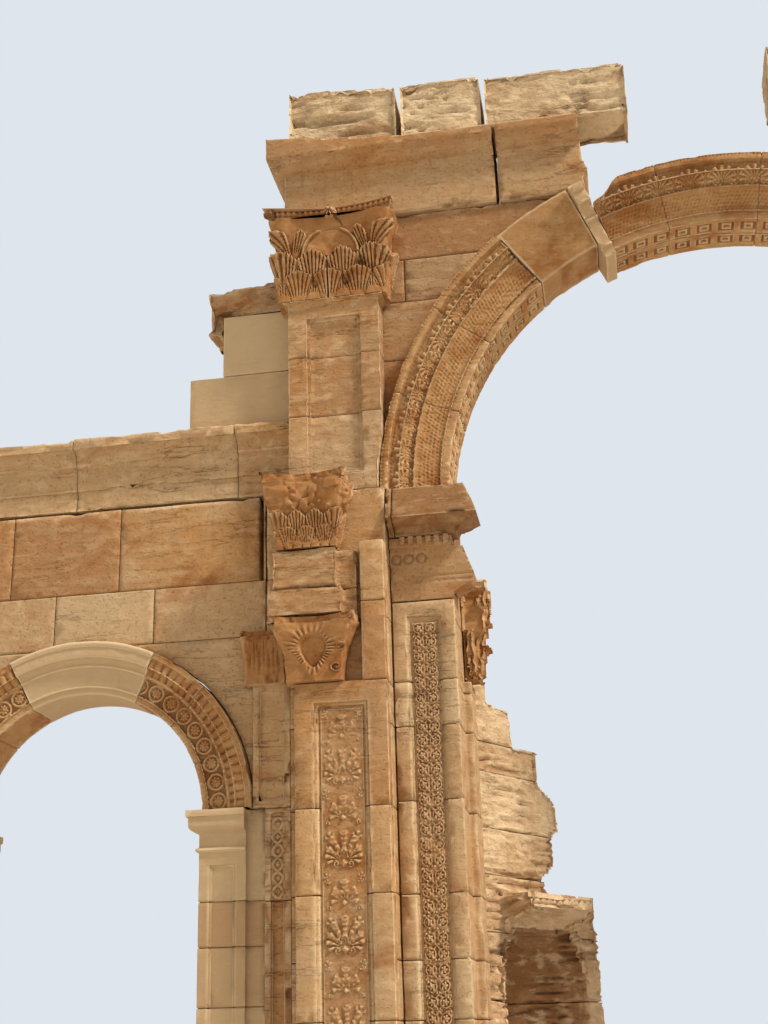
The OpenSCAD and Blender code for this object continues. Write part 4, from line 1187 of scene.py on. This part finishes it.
class ARCH_OT_capitals(bpy.types.Operator):
    """Builds the leaf capitals, the short blocks between them and the block with ring motifs"""
    bl_idname = "arch.capitals"
    bl_label = "Capitals"

    def execute(self, context):
        for side, sign in SIDES:
            for kind, y0, y1, ends, height, inset, pattern, lean in (
                    ("main", -0.77, -0.34, (4.52, 5.57), 0.76, 0.22, fluted_bell, 0.4),
                    ("middle", -0.77, -0.34, (4.59, 5.64), 0.93, 0.18, leaves_worn_low, 0.6),
                    ("upper", -0.53, 0.0, (3.965, 5.64), 1.32, 0.17, leaves_on_bell, 0.8)):
                node = f"{side}_{kind}_capital"
                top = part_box(node)[1][2]
                leaf_capital(node + "_leaves", node, *mirrored(sign, ends), WALL_Y + y0, WALL_Y + y1,
                             top - height, top, inset, pattern, seed=50 + sign, lean=lean, cell=0.0098,
                             hand=-sign)
            masonry(side + "_middle_capital", (6.72,), wear=TOOLED, finish=TOOLED_FACE, seed=53 + sign,
                    top=7.2, soften=0.015, cells=(0.05, 0.06, 0.04))
            leaf_capital(side + "_outer_capital", side + "_outer_pilaster", *mirrored(sign, (10.51, 11.9)),
                         WALL_Y - 0.54, WALL_Y, OUTER_CAPITAL_FOOT, OUTER_CAPITAL_TOP, 0.18, leaves_on_bell,
                         seed=56 + sign, lean=0.7, scrolls=True, hand=sign)
            for i, ends in enumerate(((5.4, 6.04), (9.92, 10.56))):
                leaf_capital(f"{side}_small_capital_{i + 1}", side + "_small_pilaster", *mirrored(sign, ends),
                             WALL_Y - 0.24, WALL_Y, SMALL_CAPITAL_FOOT, SMALL_CAPITAL_TOP, 0.09, palm_bell,
                             seed=58 + sign, lean=0.5)
            masonry(side + "_jamb_capital", (), wear=MOULDED, seed=59 + sign, cells=(0.014, 0.06, 0.014),
                    carve=lambda points: ring_marks(np.abs(points[:, 0]), points[:, 2]))
        # A pale band at the top of the passage capital: partly sun bleaching, partly painted highlight on its
        # top ledge
        masonry("left_passage_capital", wear=TOOLED | {"broad": 0.05, "fine": 0.03, "keep": (-1, 0, 0)},
                finish=CARVED, seed=63, cells=(0.024, 0.03, 0.024),
                paint=lambda points, normals: {"wear": 0.9 * ramp(points[:, 2], 6.88, 6.93)})
        return {"FINISHED"}


def niche_shade(points, sign):
    """Marks for the rear wing: painted shade inside its niche, deep brown and without pale wear."""
    along, outward = np.array(WING_AXIS[:2]), np.array((WING_AXIS[1], -WING_AXIS[0]))
    root = np.array((sign * 3.4, WALL_Y + 1.0))
    away, place = (points[:, :2] - root) @ outward, (points[:, :2] - root) @ along
    inside = ramp(away, -0.05, -0.16) * (away > -0.9) * (place > 0.3) * (place < 2.3)
    inside = inside * (points[:, 2] < 3.2) * (points[:, 2] > 0.85)
    return {"hollow": 0.32 * inside, "tone": -2 * inside, "wear": -inside}


class ARCH_OT_entablatures(bpy.types.Operator):
    """Builds the imposts, side entablatures, cornices, rough top blocks and rear wings"""
    bl_idname = "arch.entablatures"
    bl_label = "Entablatures"

    def execute(self, context):
        for side, sign in SIDES:
            # The impost is painted darker and browner all over as shade, as its face leans down away from the
            # light
            masonry(side + "_impost", uprights=[[sign * 4.13]], wear=PLAIN | {"chips": 0.09}, seed=61 + sign,
                    cells=(0.04, 0.07, 0.04), paint=evenly(tone=-1.8, hollow=0.5))
            masonry(side + "_side_entablature", uprights=[[sign * u for u in (6.1, 8.2, 10.1)]], wear=TOOLED,
                    finish=TOOLED_FACE, seed=64 + sign, paint=evenly(tone=0.8))
            masonry(side + "_cornice", wear=PLAIN | {"chips": 0.09}, seed=67 + sign,
                    cells=(0.05, 0.06, 0.045),
                    paint=lambda points, normals: {"tone": 0.8 - 0.9 * ramp(points[:, 2], 12.6, 12.8)})
            masonry(side + "_top_blocks", wear=RUGGED | {"tight": 0.85}, finish=ROUGH_TOP, seed=70 + sign,
                    cells=(0.04, 0.06, 0.03), soften=0.03, paint=evenly(tone=-0.2))
            masonry(side + "_rear_wing", (0.9, 1.5, 2.2, 2.95, 3.6, 4.14, 4.81, 5.17),
                    [[0.9, 1.9], [0.5, 1.4, 2.3], [1.1, 2.0], [0.6, 1.6]], wear=CRACKED, finish=BLEACHED,
                    seed=73 + sign, along=WING_AXIS, cells=(0.06, 0.06, 0.028),
                    paint=lambda points, normals: niche_shade(points, sign))
        masonry("left_new_blocks", (9.82,), wear=SAWN, finish=REPAIR, seed=77, soften=0.01)
        masonry("left_broken_block", wear=RUGGED, finish=TOOLED_FACE, seed=78, soften=0.02,
                paint=evenly(tone=-1.2))
        return {"FINISHED"}


FLOOR_REACH = 160  # from the middle to each edge of the floor
FILL_COLOUR, FILL_STRENGTH = "f5efe6", 0.62
SUN_STRENGTH, SUN_DIRECTION = 3.9, (-0.82, 0.34, -0.95)


class ARCH_OT_stage(bpy.types.Operator):
    """Sets the floor, the light, the backdrop and the camera"""
    bl_idname = "arch.stage"
    bl_label = "Stage"

    def execute(self, context):
        stage = settings("arch_stage")
        bm = bmesh.new()
        bmesh.ops.create_grid(bm, x_segments=1, y_segments=1, size=FLOOR_REACH)
        mesh = as_mesh(bm, "floor", turned=False)
        floor = bpy.data.objects.new("floor", mesh)
        context.scene.collection.objects.link(floor)
        paint = bpy.data.materials.new("Plain pale floor")
        paint.use_nodes = True
        paint.node_tree.nodes["Principled BSDF"].inputs["Base Color"].default_value = srgb(stage.floor)
        paint.node_tree.nodes["Principled BSDF"].inputs["Roughness"].default_value = 0.9
        mesh.materials.append(paint)

        world = bpy.data.worlds.new("Studio")
        world.use_nodes = True
        tree = world.node_tree
        tree.nodes.clear()
        path = add(tree, "ShaderNodeLightPath")
        seen = calculate(tree, "MAXIMUM", path.outputs["Is Camera Ray"], path.outputs["Is Glossy Ray"])
        fill = add(tree, "ShaderNodeBackground", {"Color": srgb(FILL_COLOUR), "Strength": FILL_STRENGTH})
        back = add(tree, "ShaderNodeBackground", {"Color": srgb(stage.backdrop), "Strength": 1.0})
        both = add(tree, "ShaderNodeMixShader")
        feed(tree, both, {0: seen, 1: fill.outputs[0], 2: back.outputs[0]})
        add(tree, "ShaderNodeOutputWorld", Surface=both.outputs[0])
        context.scene.world = world

        lamp = bpy.data.lights.new("key", "SUN")
        lamp.energy = SUN_STRENGTH
        lamp.angle = math.radians(9)  # soft edges of shadow, as under thin haze
        lamp.color = (1.0, 0.95, 0.87)
        key = bpy.data.objects.new("key", lamp)
        key.rotation_euler = Vector(SUN_DIRECTION).to_track_quat("-Z", "Y").to_euler()
        context.scene.collection.objects.link(key)

        camera = bpy.data.cameras.new("camera")
        camera.lens = stage.focal
        camera.sensor_width = 36
        camera.clip_end = 500
        view = bpy.data.objects.new("camera", camera)
        level = math.cos(stage.pitch)
        ahead = Vector((math.sin(stage.yaw) * level, math.cos(stage.yaw) * level, math.sin(stage.pitch)))
        right = Vector((math.cos(stage.yaw), -math.sin(stage.yaw), 0))
        up = right.cross(ahead)
        turned = right * math.cos(stage.roll) + up * math.sin(stage.roll)
        raised = up * math.cos(stage.roll) - right * math.sin(stage.roll)
        place = Matrix((turned, raised, -ahead)).transposed().to_4x4()
        place.translation = Vector(stage.eye)
        view.matrix_world = place
        context.scene.collection.objects.link(view)
        context.scene.camera = view
        context.scene.view_settings.view_transform = "Standard"
        return {"FINISHED"}


class ARCH_PT_panel(bpy.types.Panel):
    """Lists the steps that build the arch"""
    bl_idname = "ARCH_PT_panel"
    bl_label = "Ruined arch"
    bl_space_type = "VIEW_3D"
    bl_region_type = "UI"
    bl_category = "Arch"

    def draw(self, context):
        for step in STEPS:
            self.layout.operator(step.bl_idname)
        for group in ("arch_stone", "arch_colours", "arch_stage"):
            values = getattr(context.scene, group)
            box = self.layout.box()
            for name in values.__annotations__:
                box.prop(values, name)


GROUPS = {"arch_stone": StoneSettings, "arch_colours": LimestoneColours, "arch_stage": StageSettings}
STEPS = (ARCH_OT_materials, ARCH_OT_walls, ARCH_OT_pilasters, ARCH_OT_rings, ARCH_OT_capitals,
         ARCH_OT_entablatures, ARCH_OT_stage)


def register():
    for cls in (*GROUPS.values(), *STEPS, ARCH_PT_panel):
        bpy.utils.register_class(cls)
    for name, group in GROUPS.items():
        setattr(bpy.types.Scene, name, bpy.props.PointerProperty(type=group))


def unregister():
    for name in GROUPS:
        delattr(bpy.types.Scene, name)
    for cls in reversed((*GROUPS.values(), *STEPS, ARCH_PT_panel)):
        bpy.utils.unregister_class(cls)


def main():
    register()
    for step in STEPS:
        group, name = step.bl_idname.split(".")
        getattr(getattr(bpy.ops, group), name)()
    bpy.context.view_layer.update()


if __name__ == "__main__":
    main()
